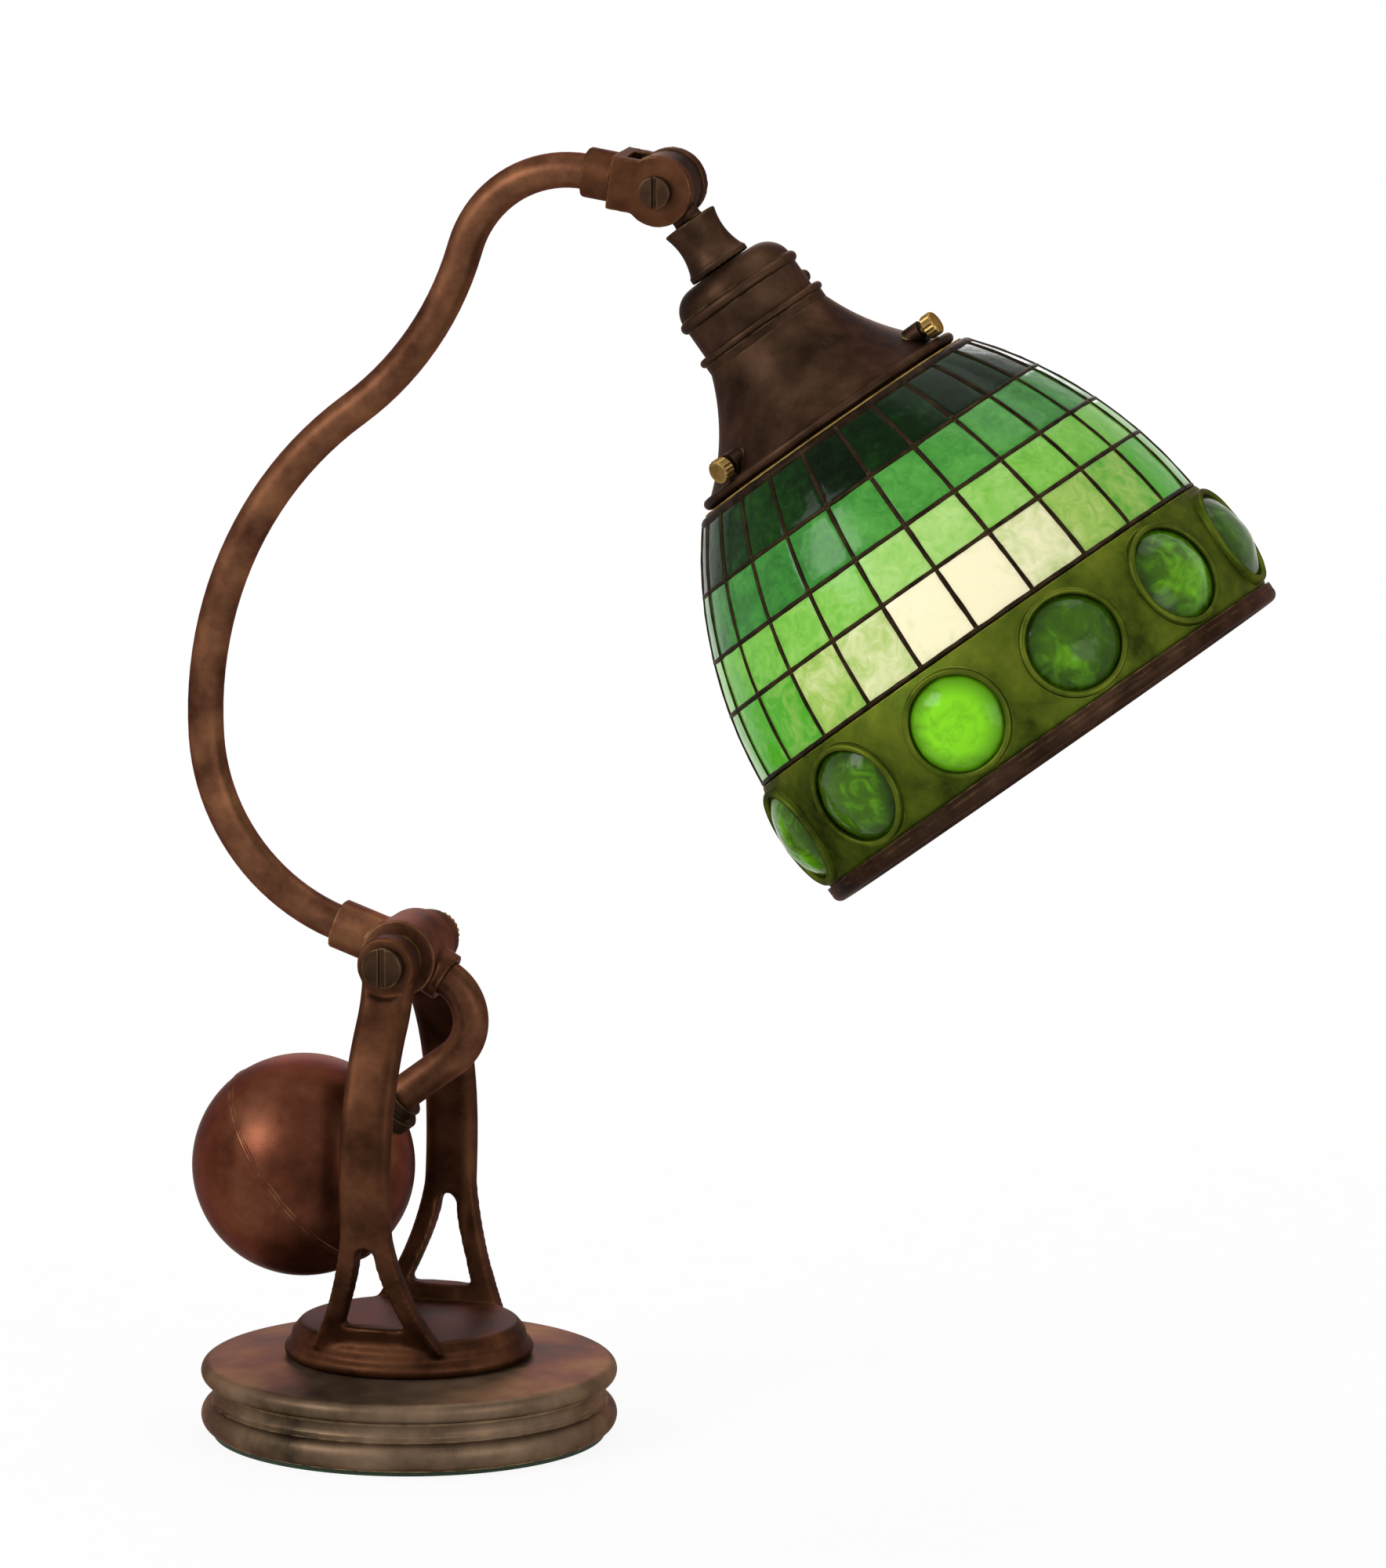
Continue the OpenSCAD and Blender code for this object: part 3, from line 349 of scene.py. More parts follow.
# %% A recipe for opalescent glass
def opalescent_glass(name, dark, mid, light, streak=5.0, ripple=9.0, roughness=0.16, shine=0.12):
    """Streaky glass. streak and ripple are sizes in millimetres. The mesh attribute tone is 0 for a dark pane."""
    material, tree, place = new_material(name)
    tone = add(tree, "Attribute", {"attribute_name": "tone"})
    shift = add(tree, "VectorMath", {"operation": "SCALE", 0: (0.31, 0.17, 0.23)}, {"Scale": tone.outputs["Fac"]})
    sheet = add(tree, "VectorMath", {"operation": "ADD"}, {0: place, 1: shift.outputs["Vector"]})
    clouds = add(tree, "TexNoise", {"Scale": 1 / (3 * streak * MM), "Detail": 5.0, "Distortion": 0.8},
                 {"Vector": sheet.outputs["Vector"]})
    streaks = add(tree, "TexNoise", {"Scale": 1 / (streak * MM), "Detail": 6.0, "Roughness": 0.55,
                                     "Distortion": 1.6}, {"Vector": sheet.outputs["Vector"]})
    stirred = add(tree, "Math", {"operation": "ADD"}, {0: clouds.outputs["Fac"], 1: streaks.outputs["Fac"]})
    lifted = add(tree, "Math", {"operation": "MULTIPLY_ADD", 1: 0.9, 2: -0.42},
                 {0: tone.outputs["Fac"]})
    mixed = add(tree, "Math", {"operation": "MULTIPLY_ADD", 1: 0.5}, {0: stirred.outputs[0]})
    tree.links.new(lifted.outputs[0], mixed.inputs[2])
    colour = add(tree, "ValToRGB", {"ramp": [(0.2, linear(dark)), (0.5, linear(mid)), (0.9, linear(light))]},
                 {"Fac": mixed.outputs[0]})
    rim = add(tree, "Attribute", {"attribute_name": "rim"})
    depth = add(tree, "MapRange", {"From Min": 0.55, "From Max": 1.0, "To Min": 1.0, "To Max": 0.35},
                {"Value": rim.outputs["Fac"]})
    deepened = add(tree, "VectorMath", {"operation": "SCALE"},
                   {0: colour.outputs["Color"], "Scale": depth.outputs["Result"]})
    wave = add(tree, "TexNoise", {"Scale": 1 / (ripple * MM), "Detail": 2.0}, {"Vector": place})
    bump = add(tree, "Bump", {"Strength": 0.6, "Distance": 0.5 * MM}, {"Height": wave.outputs["Fac"]})
    rough = add(tree, "MapRange", {"To Min": roughness - 0.05, "To Max": roughness + 0.08},
                {"Value": streaks.outputs["Fac"]})
    shader = add(tree, "BsdfPrincipled", {"IOR": 1.52, "Specular IOR Level": shine},
                 {"Base Color": deepened.outputs["Vector"], "Roughness": rough.outputs["Result"],
                  "Normal": bump.outputs["Normal"]})
    finish_material(tree, shader)
    return material


# %% The shade's glasses
# Three green sheets, darker towards the cap
# The darkest sheet is a little dull, so that it stays green where it mirrors the white room
TOP_GLASS = opalescent_glass("deep_green_opalescent_glass", "030a02", "0a2207", "1d4c12", shine=0.05)
MID_GLASS = opalescent_glass("green_opalescent_glass", "185019", "388330", "62ad49")
LOW_GLASS = opalescent_glass("bright_green_opalescent_glass", "4a9a2c", "7bbd47", "b2d780")
LOOK["green_glass"] = MID_GLASS
# The pale band: cream glass with a breath of green
LOOK["pale_glass"] = opalescent_glass("cream_opalescent_glass", "4aa320", "a3c260", "f6efc8", streak=7.0)
# Pressed tiles: thick clear-green glass, rough on the back, which makes it deep and dark at the edges
LOOK["tile_glass"] = opalescent_glass("pressed_green_tile_glass", "1d3206", "3c610c", "7fd21c", streak=8.0,
                                      ripple=6.0, roughness=0.12)

# %% Frosted bulb glass
material, tree, place = new_material("frosted_bulb_glass")
noise = add(tree, "TexNoise", {"Scale": 1 / (0.6 * MM), "Detail": 2.0}, {"Vector": place})
tint = add(tree, "ValToRGB", {"ramp": [(0.3, linear("e6e4dc")), (0.7, linear("f0efe9"))]},
           {"Fac": noise.outputs["Fac"]})
rough = add(tree, "MapRange", {"To Min": 0.3, "To Max": 0.42}, {"Value": noise.outputs["Fac"]})
bump = add(tree, "Bump", {"Strength": 0.2, "Distance": 0.03 * MM}, {"Height": noise.outputs["Fac"]})
shader = add(tree, "BsdfPrincipled", {"IOR": 1.5},
             {"Base Color": tint.outputs["Color"], "Roughness": rough.outputs["Result"],
              "Normal": bump.outputs["Normal"]})
finish_material(tree, shader)
LOOK["bulb_glass"] = material

# %% [markdown]
# ## Finishes for the CAD nodes
# The record names a finish for every node of the CAD. Each node takes its material from that name. Where a node
# is replaced by a piece made below, the node is hidden and the piece is given a finish of its own.

# %% Give each node its finish
slot_of = {part["node"]: part["material_slot"] for part in frame["record"]["subparts"]}
OWN_LOOK = {"belt_frame": BELT_BRONZE, "base_casting": BASE_BRONZE}
for name, node in nodes.items():
    node.data.materials.clear()
    node.data.materials.append(OWN_LOOK.get(name, LOOK[slot_of[name]]))
print("finishes given", len(slot_of))

# %% [markdown]
# ## Working on the shade's axis
# The shade leans, but it is easiest to model upright, with its axis on Z and its height measured from the bead
# of the socket cup. One matrix carries a finished piece from there to its place on the lamp. It is
# worked out from the knuckle's place, which is a joint of the frame, the lean of the shade and the length of
# its neck.

# %% The shade's own frame
HEAD_LEAN = math.radians(37)
NECK_LENGTH = 42.3 * MM
DOME_RADIUS = 150.85 * MM
DOME_CENTRE = Vector((-63.7, 0, 151.8)) * MM
PANE_THICKNESS = 2.4 * MM
RING_HEIGHTS = [57, 77, 97, 114.5, 138.9]
RIB_COUNT = 24
TILE_COUNT = 12
TILE_PHASE = math.radians(23.5)
RIB_STEP = 2 * math.pi / RIB_COUNT
# With no window, spin turns clockwise about its axis, so an axis that points down turns a piece counter-clockwise
AXIS = (0, 0, -1)

knuckle = Vector(joints["shade_tilt"]["pos_m"])
on_head = (Matrix.Translation(knuckle) @ Matrix.Rotation(math.pi - HEAD_LEAN, 4, "Y")
           @ Matrix.Translation((0, 0, NECK_LENGTH)))


def dome_angle(height_mm):
    """Angle of a point of the dome's outline, seen from the centre of its arc."""
    return math.asin((height_mm * MM - DOME_CENTRE.z) / DOME_RADIUS)


def dome_point(height_mm, out=0.0):
    """A point of the outline at a height along the axis, set off outwards by a distance."""
    angle = dome_angle(height_mm)
    reach = DOME_RADIUS + out
    return DOME_CENTRE + reach * Vector((math.cos(angle), 0, math.sin(angle)))


print("dome radius at each ring, mm", [round(dome_point(h).x / MM, 1) for h in RING_HEIGHTS])

# %% [markdown]
# ## Tools for the bench
# A few short functions do what a hand does in Blender's window: start with nothing selected, open a mesh for
# editing, close its ends, join copies, and put a finished piece in place with its transform applied.

# %% Small modelling helpers
def deselect():
    bpy.ops.object.select_all(action="DESELECT")


def take(piece):
    """Makes one piece the only selected and active object."""
    deselect()
    piece.select_set(True)
    bpy.context.view_layer.objects.active = piece


def apply_modifiers(piece):
    take(piece)
    for modifier in list(piece.modifiers):
        bpy.ops.object.modifier_apply(modifier=modifier.name)


def clean(piece, ends=True):
    """Merges doubles, closes open ends and turns the faces outwards."""
    take(piece)
    bpy.ops.object.mode_set(mode="EDIT")
    bpy.ops.mesh.select_all(action="SELECT")
    bpy.ops.mesh.remove_doubles(threshold=0.004 * MM)
    if ends:
        bpy.ops.mesh.select_all(action="DESELECT")
        bpy.ops.mesh.select_non_manifold()
        bpy.ops.mesh.fill_holes(sides=0)
    bpy.ops.mesh.select_all(action="SELECT")
    bpy.ops.mesh.normals_make_consistent(inside=False)
    bpy.ops.object.mode_set(mode="OBJECT")


def copy_turned(piece, angle):
    """A copy with its own mesh, turned round the shade's axis."""
    twin = piece.copy()
    twin.data = piece.data.copy()
    bpy.context.scene.collection.objects.link(twin)
    twin.data.transform(Matrix.Rotation(angle, 4, "Z"))
    return twin


def set_tone(piece, tone):
    """Writes one tone on all points of a piece, for the glass."""
    layer = piece.data.attributes.new("tone", "FLOAT", "POINT")
    layer.data.foreach_set("value", [tone] * len(piece.data.vertices))


def join(pieces):
    deselect()
    for piece in pieces:
        piece.select_set(True)
    bpy.context.view_layer.objects.active = pieces[0]
    bpy.ops.object.join()
    return bpy.context.object


def ripple(piece, size_mm, strength_mm):
    """Moves the surface in and out by soft noise of a real size, as hand work does."""
    noise = bpy.data.textures.new(piece.name + "_ripple", "CLOUDS")
    noise.noise_scale = size_mm * MM
    noise.noise_depth = 1
    modifier = piece.modifiers.new("ripple", "DISPLACE")
    modifier.texture = noise
    modifier.texture_coords = "LOCAL"
    modifier.strength = strength_mm * MM
    modifier.mid_level = 0.5
    apply_modifiers(piece)


def finish_piece(piece, name, body, replaced, look, place=None, angle=35):
    """Names a piece, carries it to its place, smooths it, gives its finish and lets it ride on its body."""
    take(piece)
    if place is not None:
        piece.matrix_world = place
        bpy.ops.object.transform_apply(location=True, rotation=True, scale=True)
    bpy.ops.object.shade_smooth_by_angle(angle=math.radians(angle))
    piece.name = name
    piece.data.name = name
    piece.data.materials.clear()
    piece.data.materials.append(look)
    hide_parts(replaced)
    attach(piece, body)
    print(name, len(piece.data.polygons), "faces, size mm", [round(d / MM, 1) for d in piece.dimensions])


# %% [markdown]
# ## Outlines
# Many pieces are turned or rolled, so they are the same all round an axis. Such a piece starts as one point at a
# radius and a height. The point is extruded from leg to leg to draw the outline, and the outline is spun round
# the axis. This is how a lathe works: the tool follows an outline while the piece turns.

# %% Draw an outline from one point
def start_outline(first):
    """A single point in edit mode, at a radius and a height in millimetres."""
    deselect()
    bpy.ops.mesh.primitive_plane_add(size=MM, location=(0, 0, 0))
    bpy.ops.object.mode_set(mode="EDIT")
    bpy.ops.mesh.select_mode(type="VERT")
    bpy.ops.mesh.select_all(action="SELECT")
    bpy.ops.mesh.merge(type="CENTER")
    bpy.ops.transform.translate(value=(first[0] * MM, 0, first[1] * MM))
    return bpy.context.object


def draw_legs(points):
    """Extrudes the selected point from each point of an outline to the next."""
    for here, there in zip(points, points[1:]):
        leg = ((there[0] - here[0]) * MM, 0, (there[1] - here[1]) * MM)
        bpy.ops.mesh.extrude_region_move(TRANSFORM_OT_translate={"value": leg})


def spin_round(piece, steps):
    """Spins the whole outline round Z and closes it."""
    bpy.ops.mesh.select_all(action="SELECT")
    bpy.ops.mesh.spin(steps=steps, angle=2 * math.pi, center=(0, 0, 0), axis=AXIS)
    bpy.ops.object.mode_set(mode="OBJECT")
    clean(piece)


# %% [markdown]
# ## The panes
# A pane is a piece of sheet glass, cut to a trapezium and slumped over a mould. It is made as by hand in two
# sweeps: one point is spun up the dome's outline to give an edge, and that edge is spun round the shade's
# axis to give a curved sheet. Solidify gives it the glass's thickness and a bevel the ground edge. The
# others of its row are copies, each with its own tone. Neighbours were cut side by side from one sheet, so the
# tone changes slowly round the shade, from green to cream and back.

# %% Cut and set the panes
PANE_STEPS = 8
PANE_EDGE_UNDER_SOLDER = 0.35 * MM
GROUND_EDGE = 0.35 * MM
# Side of the shade, round its own axis, where the sheet was palest. An even power gives the opposite side too
CREAM_SIDE = math.radians(246)
CREAM_NARROWNESS = 4
dice = random.Random(11)


def curved_sheet(low_mm, high_mm, first, turn):
    """A strip of the dome from one height to another, from an angle round the axis and as wide as a turn."""
    deselect()
    bpy.ops.mesh.primitive_plane_add(size=MM, location=(0, 0, 0))
    sheet = bpy.context.object
    bpy.ops.object.mode_set(mode="EDIT")
    bpy.ops.mesh.select_all(action="SELECT")
    bpy.ops.mesh.merge(type="CENTER")
    bpy.ops.transform.translate(value=Matrix.Rotation(first, 3, "Z") @ dome_point(low_mm))
    bpy.ops.mesh.select_all(action="SELECT")
    centre = Matrix.Rotation(first, 3, "Z") @ DOME_CENTRE
    across = Matrix.Rotation(first, 3, "Z") @ Vector((0, 1, 0))
    bpy.ops.mesh.spin(steps=PANE_STEPS, angle=dome_angle(high_mm) - dome_angle(low_mm), center=centre, axis=across)
    bpy.ops.mesh.select_all(action="SELECT")
    bpy.ops.mesh.spin(steps=PANE_STEPS, angle=turn, center=(0, 0, 0), axis=AXIS)
    bpy.ops.mesh.select_all(action="SELECT")
    bpy.ops.mesh.remove_doubles(threshold=0.004 * MM)
    bpy.ops.object.mode_set(mode="OBJECT")
    face = sheet.data.polygons[0]
    if face.normal.dot(Vector((face.center.x, face.center.y, 0))) < 0:
        take(sheet)
        bpy.ops.object.mode_set(mode="EDIT")
        bpy.ops.mesh.select_all(action="SELECT")
        bpy.ops.mesh.flip_normals()
        bpy.ops.object.mode_set(mode="OBJECT")
    return sheet


def row_of_panes(row, name, node, look, tones):
    low = RING_HEIGHTS[row] + PANE_EDGE_UNDER_SOLDER / MM
    high = RING_HEIGHTS[row + 1] - PANE_EDGE_UNDER_SOLDER / MM
    gap = 2 * PANE_EDGE_UNDER_SOLDER / dome_point(low).x
    pane = curved_sheet(low, high, TILE_PHASE + gap / 2, RIB_STEP - gap)
    thick = pane.modifiers.new("thickness", "SOLIDIFY")
    thick.thickness = PANE_THICKNESS
    thick.offset = -1
    ground = pane.modifiers.new("ground_edge", "BEVEL")
    ground.width = GROUND_EDGE
    ground.segments = 2
    ground.angle_limit = math.radians(50)
    apply_modifiers(pane)
    row_pieces = [copy_turned(pane, k * RIB_STEP) for k in range(RIB_COUNT)]
    for piece, tone in zip(row_pieces, tones):
        set_tone(piece, tone)
    bpy.data.objects.remove(pane)
    panes = join(row_pieces)
    ripple(panes, 14, 0.35)
    finish_piece(panes, name, "head", node, look, on_head, angle=40)


def tones(green, cream, spread):
    """The tone of each pane of a row, from the green sides to the two cream sides, with a little chance in each."""
    row_tones = []
    for k in range(RIB_COUNT):
        share = math.cos(TILE_PHASE + (k + 0.5) * RIB_STEP - CREAM_SIDE) ** CREAM_NARROWNESS
        row_tones.append(green + (cream - green) * share + dice.uniform(-spread, spread))
    return row_tones


row_of_panes(0, "panes_top", "glass_top_row", TOP_GLASS, tones(0.48, 0.36, 0.12))
row_of_panes(1, "panes_middle", "glass_mid_row", MID_GLASS, tones(0.42, 0.54, 0.1))
row_of_panes(2, "panes_low", "glass_low_row", LOW_GLASS, tones(0.38, 0.7, 0.08))
row_of_panes(3, "panes_pale", "glass_band", LOOK["pale_glass"], tones(0.14, 0.92, 0.07))

# %% [markdown]
# ## The solder lines
# On the real shade a bead of solder covers each joint of two panes, higher in the middle and thicker where two
# lines meet. A ring is an oval section spun round the axis. A rib is the same section spun up the dome's
# outline. A small flattened ball sits on every crossing, and the whole web is rippled a little.

# %% Lay the solder
SOLDER_HALF_WIDTH = 1.15 * MM
SOLDER_HALF_DEPTH = PANE_THICKNESS / 2 + 0.6 * MM
# The first ring also joins the glass to the brass collar, so it is wider
COLLAR_RING_HALF_WIDTH = 2.3 * MM
SECTION_POINTS = 12
RING_STEPS = 160
RIB_STEPS = 30
BLOB_RADIUS = 1.7 * MM


def section_at(height_mm, width, depth, upright):
    """An oval section on the dome's middle surface. upright turns it to face along a rib."""
    angle = dome_angle(height_mm)
    deselect()
    bpy.ops.mesh.primitive_circle_add(vertices=SECTION_POINTS, radius=1,
                                      location=dome_point(height_mm, -PANE_THICKNESS / 2))
    section = bpy.context.object
    section.scale = (depth, width, 1)
    turned = Matrix.Rotation(-angle, 4, "Y") @ (Matrix.Identity(4) if upright else Matrix.Rotation(math.pi / 2, 4, "X"))
    section.rotation_euler = turned.to_euler()
    bpy.ops.object.transform_apply(location=True, rotation=True, scale=True)
    bpy.ops.object.mode_set(mode="EDIT")
    bpy.ops.mesh.select_all(action="SELECT")
    return section


rings = []
for height in RING_HEIGHTS:
    half_width = COLLAR_RING_HALF_WIDTH if height == RING_HEIGHTS[0] else SOLDER_HALF_WIDTH
    ring = section_at(height, half_width, SOLDER_HALF_DEPTH, upright=False)
    bpy.ops.mesh.spin(steps=RING_STEPS, angle=2 * math.pi, center=(0, 0, 0), axis=AXIS)
    bpy.ops.object.mode_set(mode="OBJECT")
    clean(ring, ends=False)
    rings.append(ring)
solder_rings = join(rings)
ripple(solder_rings, 5, 0.35)
finish_piece(solder_rings, "solder_rings", "head", "came_rings", LOOK["lead"], on_head, angle=60)

rib = section_at(RING_HEIGHTS[0], SOLDER_HALF_WIDTH, SOLDER_HALF_DEPTH, upright=True)
rib_arc = dome_angle(RING_HEIGHTS[-1]) - dome_angle(RING_HEIGHTS[0])
bpy.ops.mesh.spin(steps=RIB_STEPS, angle=rib_arc, center=DOME_CENTRE, axis=(0, 1, 0))
bpy.ops.object.mode_set(mode="OBJECT")
clean(rib)
blobs = []
for height in RING_HEIGHTS:
    deselect()
    bpy.ops.mesh.primitive_ico_sphere_add(subdivisions=2, radius=BLOB_RADIUS,
                                          location=dome_point(height, -PANE_THICKNESS / 2))
    blob = bpy.context.object
    blob.scale = (1.18, 1, 1)
    blob.rotation_euler = (0, -dome_angle(height), 0)
    bpy.ops.object.transform_apply(location=True, rotation=True, scale=True)
    blobs.append(blob)
rib = join([rib] + blobs)
ribs = [copy_turned(rib, TILE_PHASE + k * RIB_STEP) for k in range(RIB_COUNT)]
bpy.data.objects.remove(rib)
solder_ribs = join(ribs)
ripple(solder_ribs, 5, 0.35)
finish_piece(solder_ribs, "solder_ribs", "head", "came_ribs", LOOK["lead"], on_head, angle=60)

# %% [markdown]
# ## The pressed tiles
# Twelve round tiles sit in the belt. Each was pressed in a mould, so it has a domed face that is never quite even, a
# short straight edge and a dished back. Its outline is drawn from one point: an arc for the face, an
# extruded edge, and an arc back to the middle. A full spin makes the tile, and ripples make each one
# different where it sits.

# %% Press the tiles
TILE_RADIUS = 16.3
TILE_DOME = 6
TILE_EDGE_HEIGHT = 4
TILE_EDGE_AT = 183 / 2 - 2
DISH_DEPTH = 3
DISH_RADIUS = TILE_RADIUS - 3
BELT_HEIGHT = 160.5


def arc_radius(half_width, rise):
    return (half_width ** 2 + rise ** 2) / (2 * rise)


def set_rim(piece, radius):
    """Writes how far each point lies from the piece's middle, 0 there and 1 at the given radius."""
    layer = piece.data.attributes.new("rim", "FLOAT", "POINT")
    layer.data.foreach_set("value", [vertex.co.xy.length / radius for vertex in piece.data.vertices])


face_radius = arc_radius(TILE_RADIUS, TILE_DOME)
face_centre = Vector((0, 0, TILE_DOME - face_radius)) * MM
back_radius = arc_radius(DISH_RADIUS, DISH_DEPTH)
back_centre = Vector((0, 0, DISH_DEPTH - TILE_EDGE_HEIGHT - back_radius)) * MM
tile = start_outline((0, TILE_DOME))
bpy.ops.mesh.spin(steps=14, angle=math.asin(TILE_RADIUS / face_radius), center=face_centre, axis=(0, -1, 0))
draw_legs([(TILE_RADIUS, 0), (TILE_RADIUS, -TILE_EDGE_HEIGHT), (DISH_RADIUS, -TILE_EDGE_HEIGHT)])
bpy.ops.mesh.spin(steps=8, angle=math.asin(DISH_RADIUS / back_radius), center=back_centre, axis=(0, 1, 0))
spin_round(tile, 56)
set_rim(tile, TILE_RADIUS * MM)
print("tile size mm", [round(d / MM, 2) for d in tile.dimensions])

upright_to_belt = Matrix.Translation((TILE_EDGE_AT * MM, 0, BELT_HEIGHT * MM)) @ Matrix.Rotation(math.pi / 2, 4, "Y")
tile.data.transform(upright_to_belt)
# One tile is drawn far brighter and greener than the rest: painted light shining through it
BRIGHT_TILE = 8
tiles = [copy_turned(tile, TILE_PHASE + k * 2 * math.pi / TILE_COUNT) for k in range(TILE_COUNT)]
for k, piece in enumerate(tiles):
    set_tone(piece, 0.9 if k == BRIGHT_TILE else 0.42 + dice.uniform(-0.12, 0.12))
bpy.data.objects.remove(tile)
pressed_tiles = join(tiles)
ripple(pressed_tiles, 8, 0.7)
finish_piece(pressed_tiles, "pressed_tiles", "head", "belt_tiles", LOOK["tile_glass"], on_head, angle=50)

# %% [markdown]
# ## The tiles' bezels
# A rolled ring of bronze holds each tile. Its outline is a wall that goes down through the belt's window, with half
# a turn of a circle over its top, which makes the rounded bead that the eye follows round the tile. The
# solder under it closes its seat, so the wall reaches a hair into the tile and into the belt.

# %% Roll the bezels
BEZEL_INNER = 16.15
BEZEL_OUTER = 18.5
BEZEL_LOW = -5
BEAD_FROM = 1

bead_radius = (BEZEL_OUTER - BEZEL_INNER) / 2
bead_centre = Vector((BEZEL_INNER + bead_radius, 0, BEAD_FROM)) * MM
bezel = start_outline((BEZEL_INNER, BEZEL_LOW))
draw_legs([(BEZEL_INNER, BEZEL_LOW), (BEZEL_OUTER, BEZEL_LOW), (BEZEL_OUTER, BEAD_FROM)])
bpy.ops.mesh.spin(steps=8, angle=math.pi, center=bead_centre, axis=(0, 1, 0))
draw_legs([(BEZEL_INNER, BEAD_FROM), (BEZEL_INNER, BEZEL_LOW)])
spin_round(bezel, 64)
print("bezel size mm", [round(d / MM, 2) for d in bezel.dimensions])
bezel.data.transform(upright_to_belt)
bezels = [copy_turned(bezel, TILE_PHASE + k * 2 * math.pi / TILE_COUNT) for k in range(TILE_COUNT)]
bpy.data.objects.remove(bezel)
tile_rings = join(bezels)
ripple(tile_rings, 4, 0.2)
finish_piece(tile_rings, "tile_rings", "head", "tile_bezels", BELT_BRONZE, on_head, angle=60)

# %% [markdown]
# ## The ball
# The skin of the counterweight is two half shells, each pressed over a former on a lathe. Each has a fine rolled lip
# at its edge, and the two lips make the seam that catches the light. One half is modelled: a point is extruded
# along the lip, then spun a quarter turn up to the pole, and that outline is spun round. The other half is
# a mirrored copy, whose faces have to be turned outwards again.

# %% Press the half shells
BALL_RADIUS = 37.5
LIP_HEIGHT = 0.3
LIP_WIDTH = 1.2
SEAM_HALF_GAP = 0.06
# The tail rod enters the ball at this angle above the level
TAIL_RISE = math.radians(37.2)

lip = [(BALL_RADIUS - 1, SEAM_HALF_GAP), (BALL_RADIUS + 0.5 * LIP_HEIGHT, SEAM_HALF_GAP),
       (BALL_RADIUS + LIP_HEIGHT, 0.4 * LIP_WIDTH), (BALL_RADIUS + 0.6 * LIP_HEIGHT, 0.8 * LIP_WIDTH),
       (math.sqrt(BALL_RADIUS ** 2 - LIP_WIDTH ** 2), LIP_WIDTH)]
upper_half = start_outline(lip[0])
draw_legs(lip)
bpy.ops.mesh.spin(steps=44, angle=math.pi / 2 - math.asin(LIP_WIDTH / BALL_RADIUS), center=(0, 0, 0), axis=(0, 1, 0))
spin_round(upper_half, 96)
lower_half = copy_turned(upper_half, 0)
lower_half.data.transform(Matrix.Scale(-1, 4, (0, 0, 1)))
clean(lower_half)

halves = [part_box("ball_shell_upper"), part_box("ball_shell_lower")]
ball_centre = (Vector(map(min, halves[0][0], halves[1][0])) + Vector(map(max, halves[0][1], halves[1][1]))) / 2
on_tail = Matrix.Translation(ball_centre) @ Matrix.Rotation(math.pi / 2 - TAIL_RISE, 4, "Y")
for half, name, node in ((upper_half, "ball_half_upper", "ball_shell_upper"),
                         (lower_half, "ball_half_lower", "ball_shell_lower")):
    ripple(half, 24, 0.3)
    finish_piece(half, name, "arm", node, LOOK["ball_bronze"], on_tail)

# %% [markdown]
# ## Thumb nuts and thumb screws
# Round nuts of turned brass set the friction of both joints, and three thumb screws clamp the glass. Their rims
# are knurled, so that fingers grip them: a toothed wheel pressed straight ridges into the brass. The
# outline is spun in twice as many steps as there are ridges, and then every second edge of the rim is moved
# inwards.

# %% Turn and knurl
def knurled(outline, ridges, rim, depth):
    """Turns a piece from its outline and cuts a knurl into its rim. All sizes are in millimetres."""
    piece = start_outline(outline[0])
    draw_legs(outline)
    spin_round(piece, 2 * ridges)
    take(piece)
    bpy.ops.object.mode_set(mode="EDIT")
    bpy.ops.mesh.select_all(action="DESELECT")
    bpy.ops.object.mode_set(mode="OBJECT")
    for vertex in piece.data.vertices:
        step = round(math.atan2(vertex.co.y, vertex.co.x) / (math.pi / ridges))
        vertex.select = step % 2 == 1 and vertex.co.xy.length > (rim - 0.01) * MM
    bpy.ops.object.mode_set(mode="EDIT")
    inwards = 1 - depth / rim
    bpy.ops.transform.resize(value=(inwards, inwards, 1), center_override=(0, 0, 0))
    bpy.ops.object.mode_set(mode="OBJECT")
    return piece


# %% Make the thumb nuts
NUT_RADIUS = 8
NUT_RIDGES = 26

for joint, name, node, bore in (("pivot_nut_turn", "pivot_nut_knurled", "pivot_thumb_nut", 4.06),
                                ("tilt_nut_turn", "tilt_nut_knurled", "tilt_thumb_nut", 3.06)):
    boss = bore + 1.8
    outline = [(bore, 0), (NUT_RADIUS - 0.6, 0), (NUT_RADIUS, 0.6), (NUT_RADIUS, 4.3), (NUT_RADIUS - 0.6, 4.9),
               (boss + 0.5, 4.9), (boss, 5.4), (boss, 6.6), (boss - 0.4, 7), (bore, 7), (bore, 0)]
    nut = knurled(outline, NUT_RIDGES, NUT_RADIUS, 0.45)
    centre = Vector(joints[joint]["pos_m"])
    centre.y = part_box(node)[0].y
    finish_piece(nut, name, node.split("_")[0] + "_nut", node, LOOK["brass"],
                 Matrix.Translation(centre) @ Matrix.Rotation(-math.pi / 2, 4, "X"), angle=20)

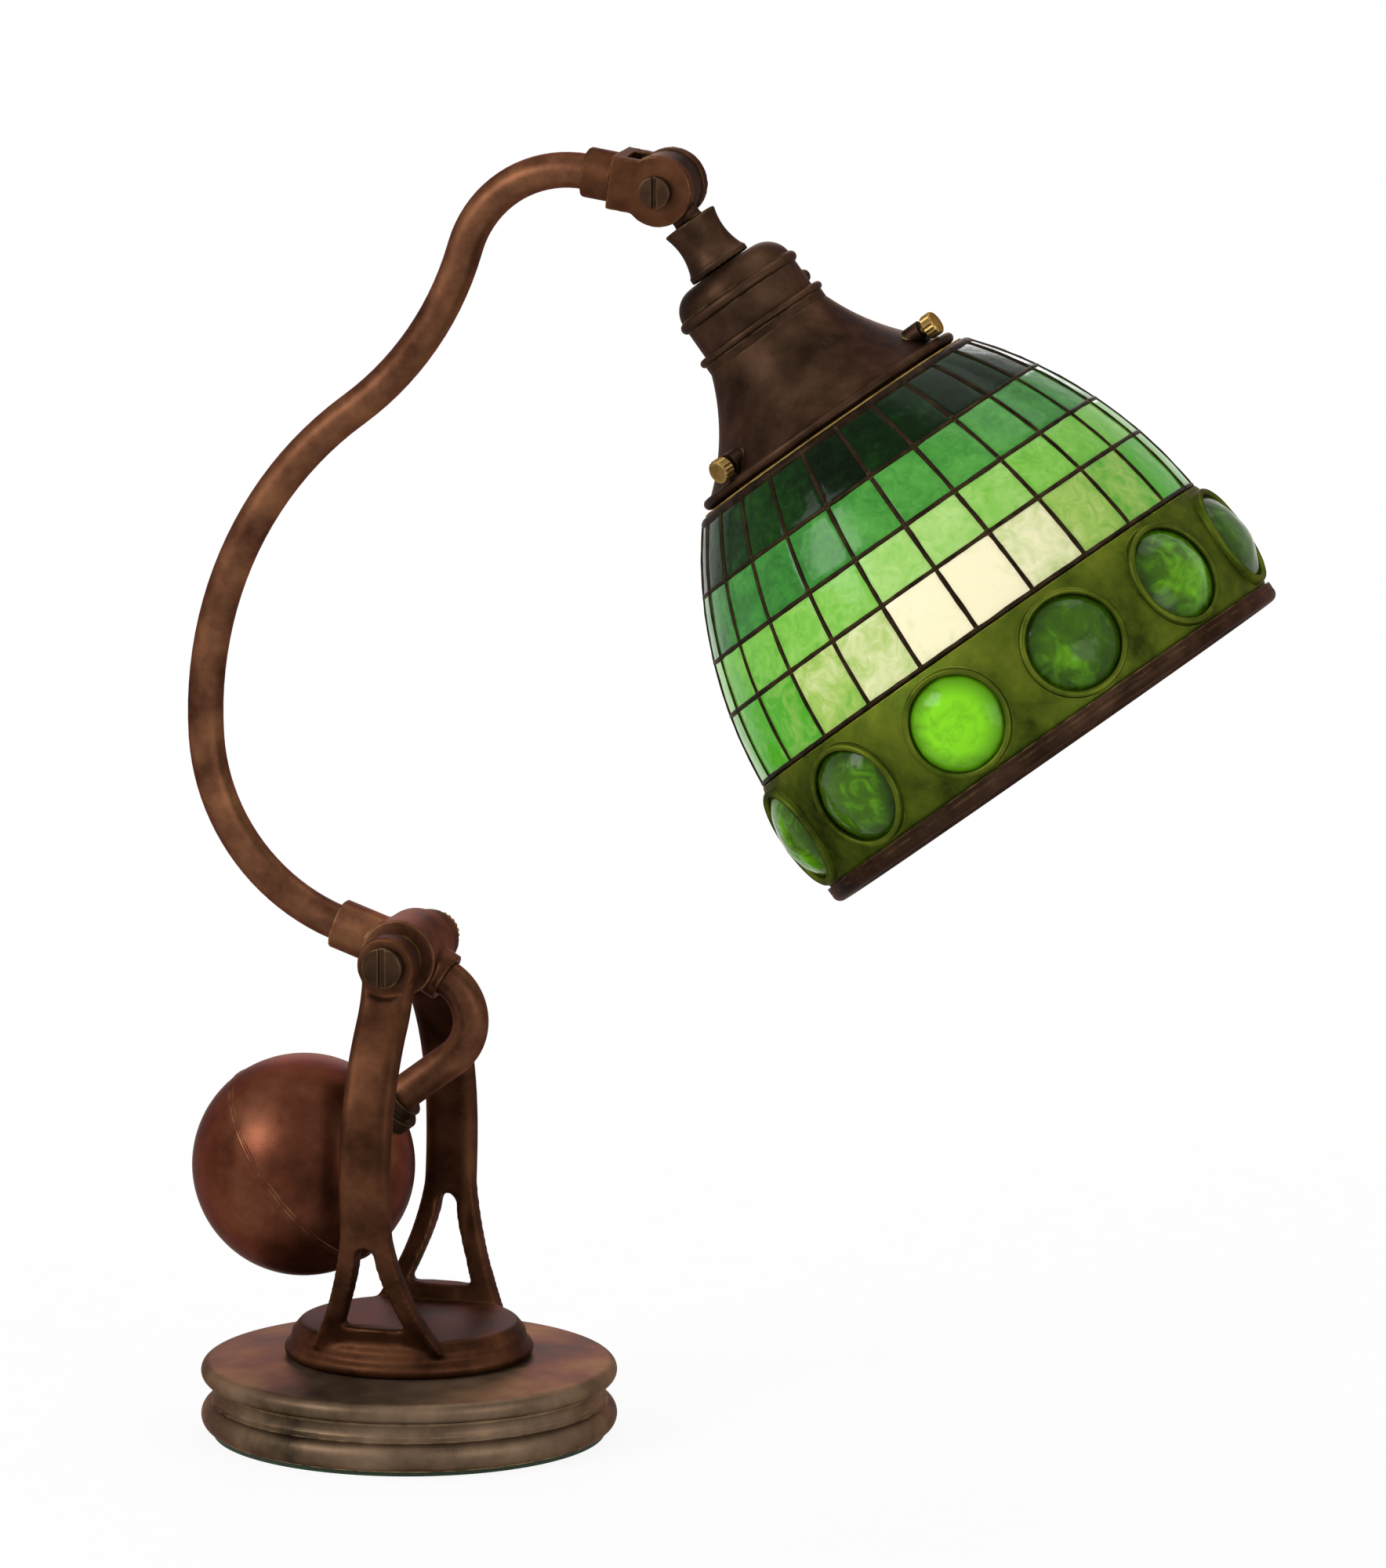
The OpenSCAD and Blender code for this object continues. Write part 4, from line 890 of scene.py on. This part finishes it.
# %% Make the thumb screws
HEAD_RADIUS = 4.2
HEAD_FROM_AXIS = 47.2 * MM
SCREW_HEIGHT = 46.5 * MM
SCREW_COUNT = 3
outline = [(0, -10.1), (2, -10.1), (2, 0), (HEAD_RADIUS - 0.5, 0), (HEAD_RADIUS, 0.5), (HEAD_RADIUS, 3.9),
           (HEAD_RADIUS - 0.5, 4.4), (1.5, 4.7), (0, 4.75)]
screw = knurled(outline, 18, HEAD_RADIUS, 0.3)
screw.data.transform(Matrix.Translation((HEAD_FROM_AXIS, 0, SCREW_HEIGHT)) @ Matrix.Rotation(math.pi / 2, 4, "Y"))
screws = [copy_turned(screw, math.pi + k * 2 * math.pi / SCREW_COUNT) for k in range(SCREW_COUNT)]
bpy.data.objects.remove(screw)
finish_piece(join(screws), "thumb_screws", "head", "shade_screws", LOOK["brass"], on_head, angle=20)

# %% [markdown]
# ## Soft castings
# The fork and the knuckles are sand castings: every inner corner has a fillet and every edge is a little round,
# because molten metal and a file leave them so. A copy of the CAD node is merged, rebuilt from small even
# cells and smoothed, which rounds all corners alike. The bores stay where they were, and the pins still fill them.

# %% Soften the castings
def soft_casting(node_name, name, body, cell_mm, rounds, look, swell=None):
    """A rounded copy of a CAD node. swell is a closed piece that is cast on with it."""
    piece = bpy.data.objects.new(name, nodes[node_name].data.copy())
    bpy.context.scene.collection.objects.link(piece)
    if swell is not None:
        piece = join([piece, swell])
    take(piece)
    bpy.ops.object.mode_set(mode="EDIT")
    bpy.ops.mesh.select_all(action="SELECT")
    bpy.ops.mesh.remove_doubles(threshold=0.002 * MM)
    bpy.ops.object.mode_set(mode="OBJECT")
    cells = piece.modifiers.new("even_cells", "REMESH")
    cells.mode = "VOXEL"
    cells.voxel_size = cell_mm * MM
    soften = piece.modifiers.new("soften", "SMOOTH")
    soften.factor = 0.5
    soften.iterations = rounds
    apply_modifiers(piece)
    finish_piece(piece, name, body, node_name, look, angle=180)


soft_casting("fork", "fork_casting", "base", 0.8, 10, FORK_BRONZE)
soft_casting("arm_knuckle", "knuckle_casting", "arm", 0.45, 4, LOOK["bronze"])
soft_casting("head_clevis", "clevis_casting", "arm", 0.45, 3, FORK_BRONZE)

# The neck under the tongue swells into a baluster, as necks of cast fittings do
NECK_TOP = -28
NECK_END = -12
NECK_WAIST = 8.6
NECK_FLARE = 1.6
NECK_MIDDLE = -21
flare = [(NECK_WAIST + NECK_FLARE * ((h - NECK_MIDDLE) / 8) ** 2, h) for h in range(NECK_TOP, NECK_END + 1, 2)]
neck_outline = [(0, NECK_TOP)] + flare + [(0, NECK_END)]
baluster = start_outline(neck_outline[0])
draw_legs(neck_outline)
spin_round(baluster, 48)
baluster.data.transform(on_head)
soft_casting("head_tongue", "tongue_casting", "head", 0.45, 4, LOOK["dark_bronze"], baluster)

soft_casting("pivot_axle", "axle_bolt", "base", 0.3, 3, LOOK["dark_bronze"])
soft_casting("tilt_bolt", "clevis_bolt", "arm", 0.3, 3, LOOK["dark_bronze"])
soft_casting("switch_key", "turn_key", "key", 0.3, 4, LOOK["dark_bronze"])
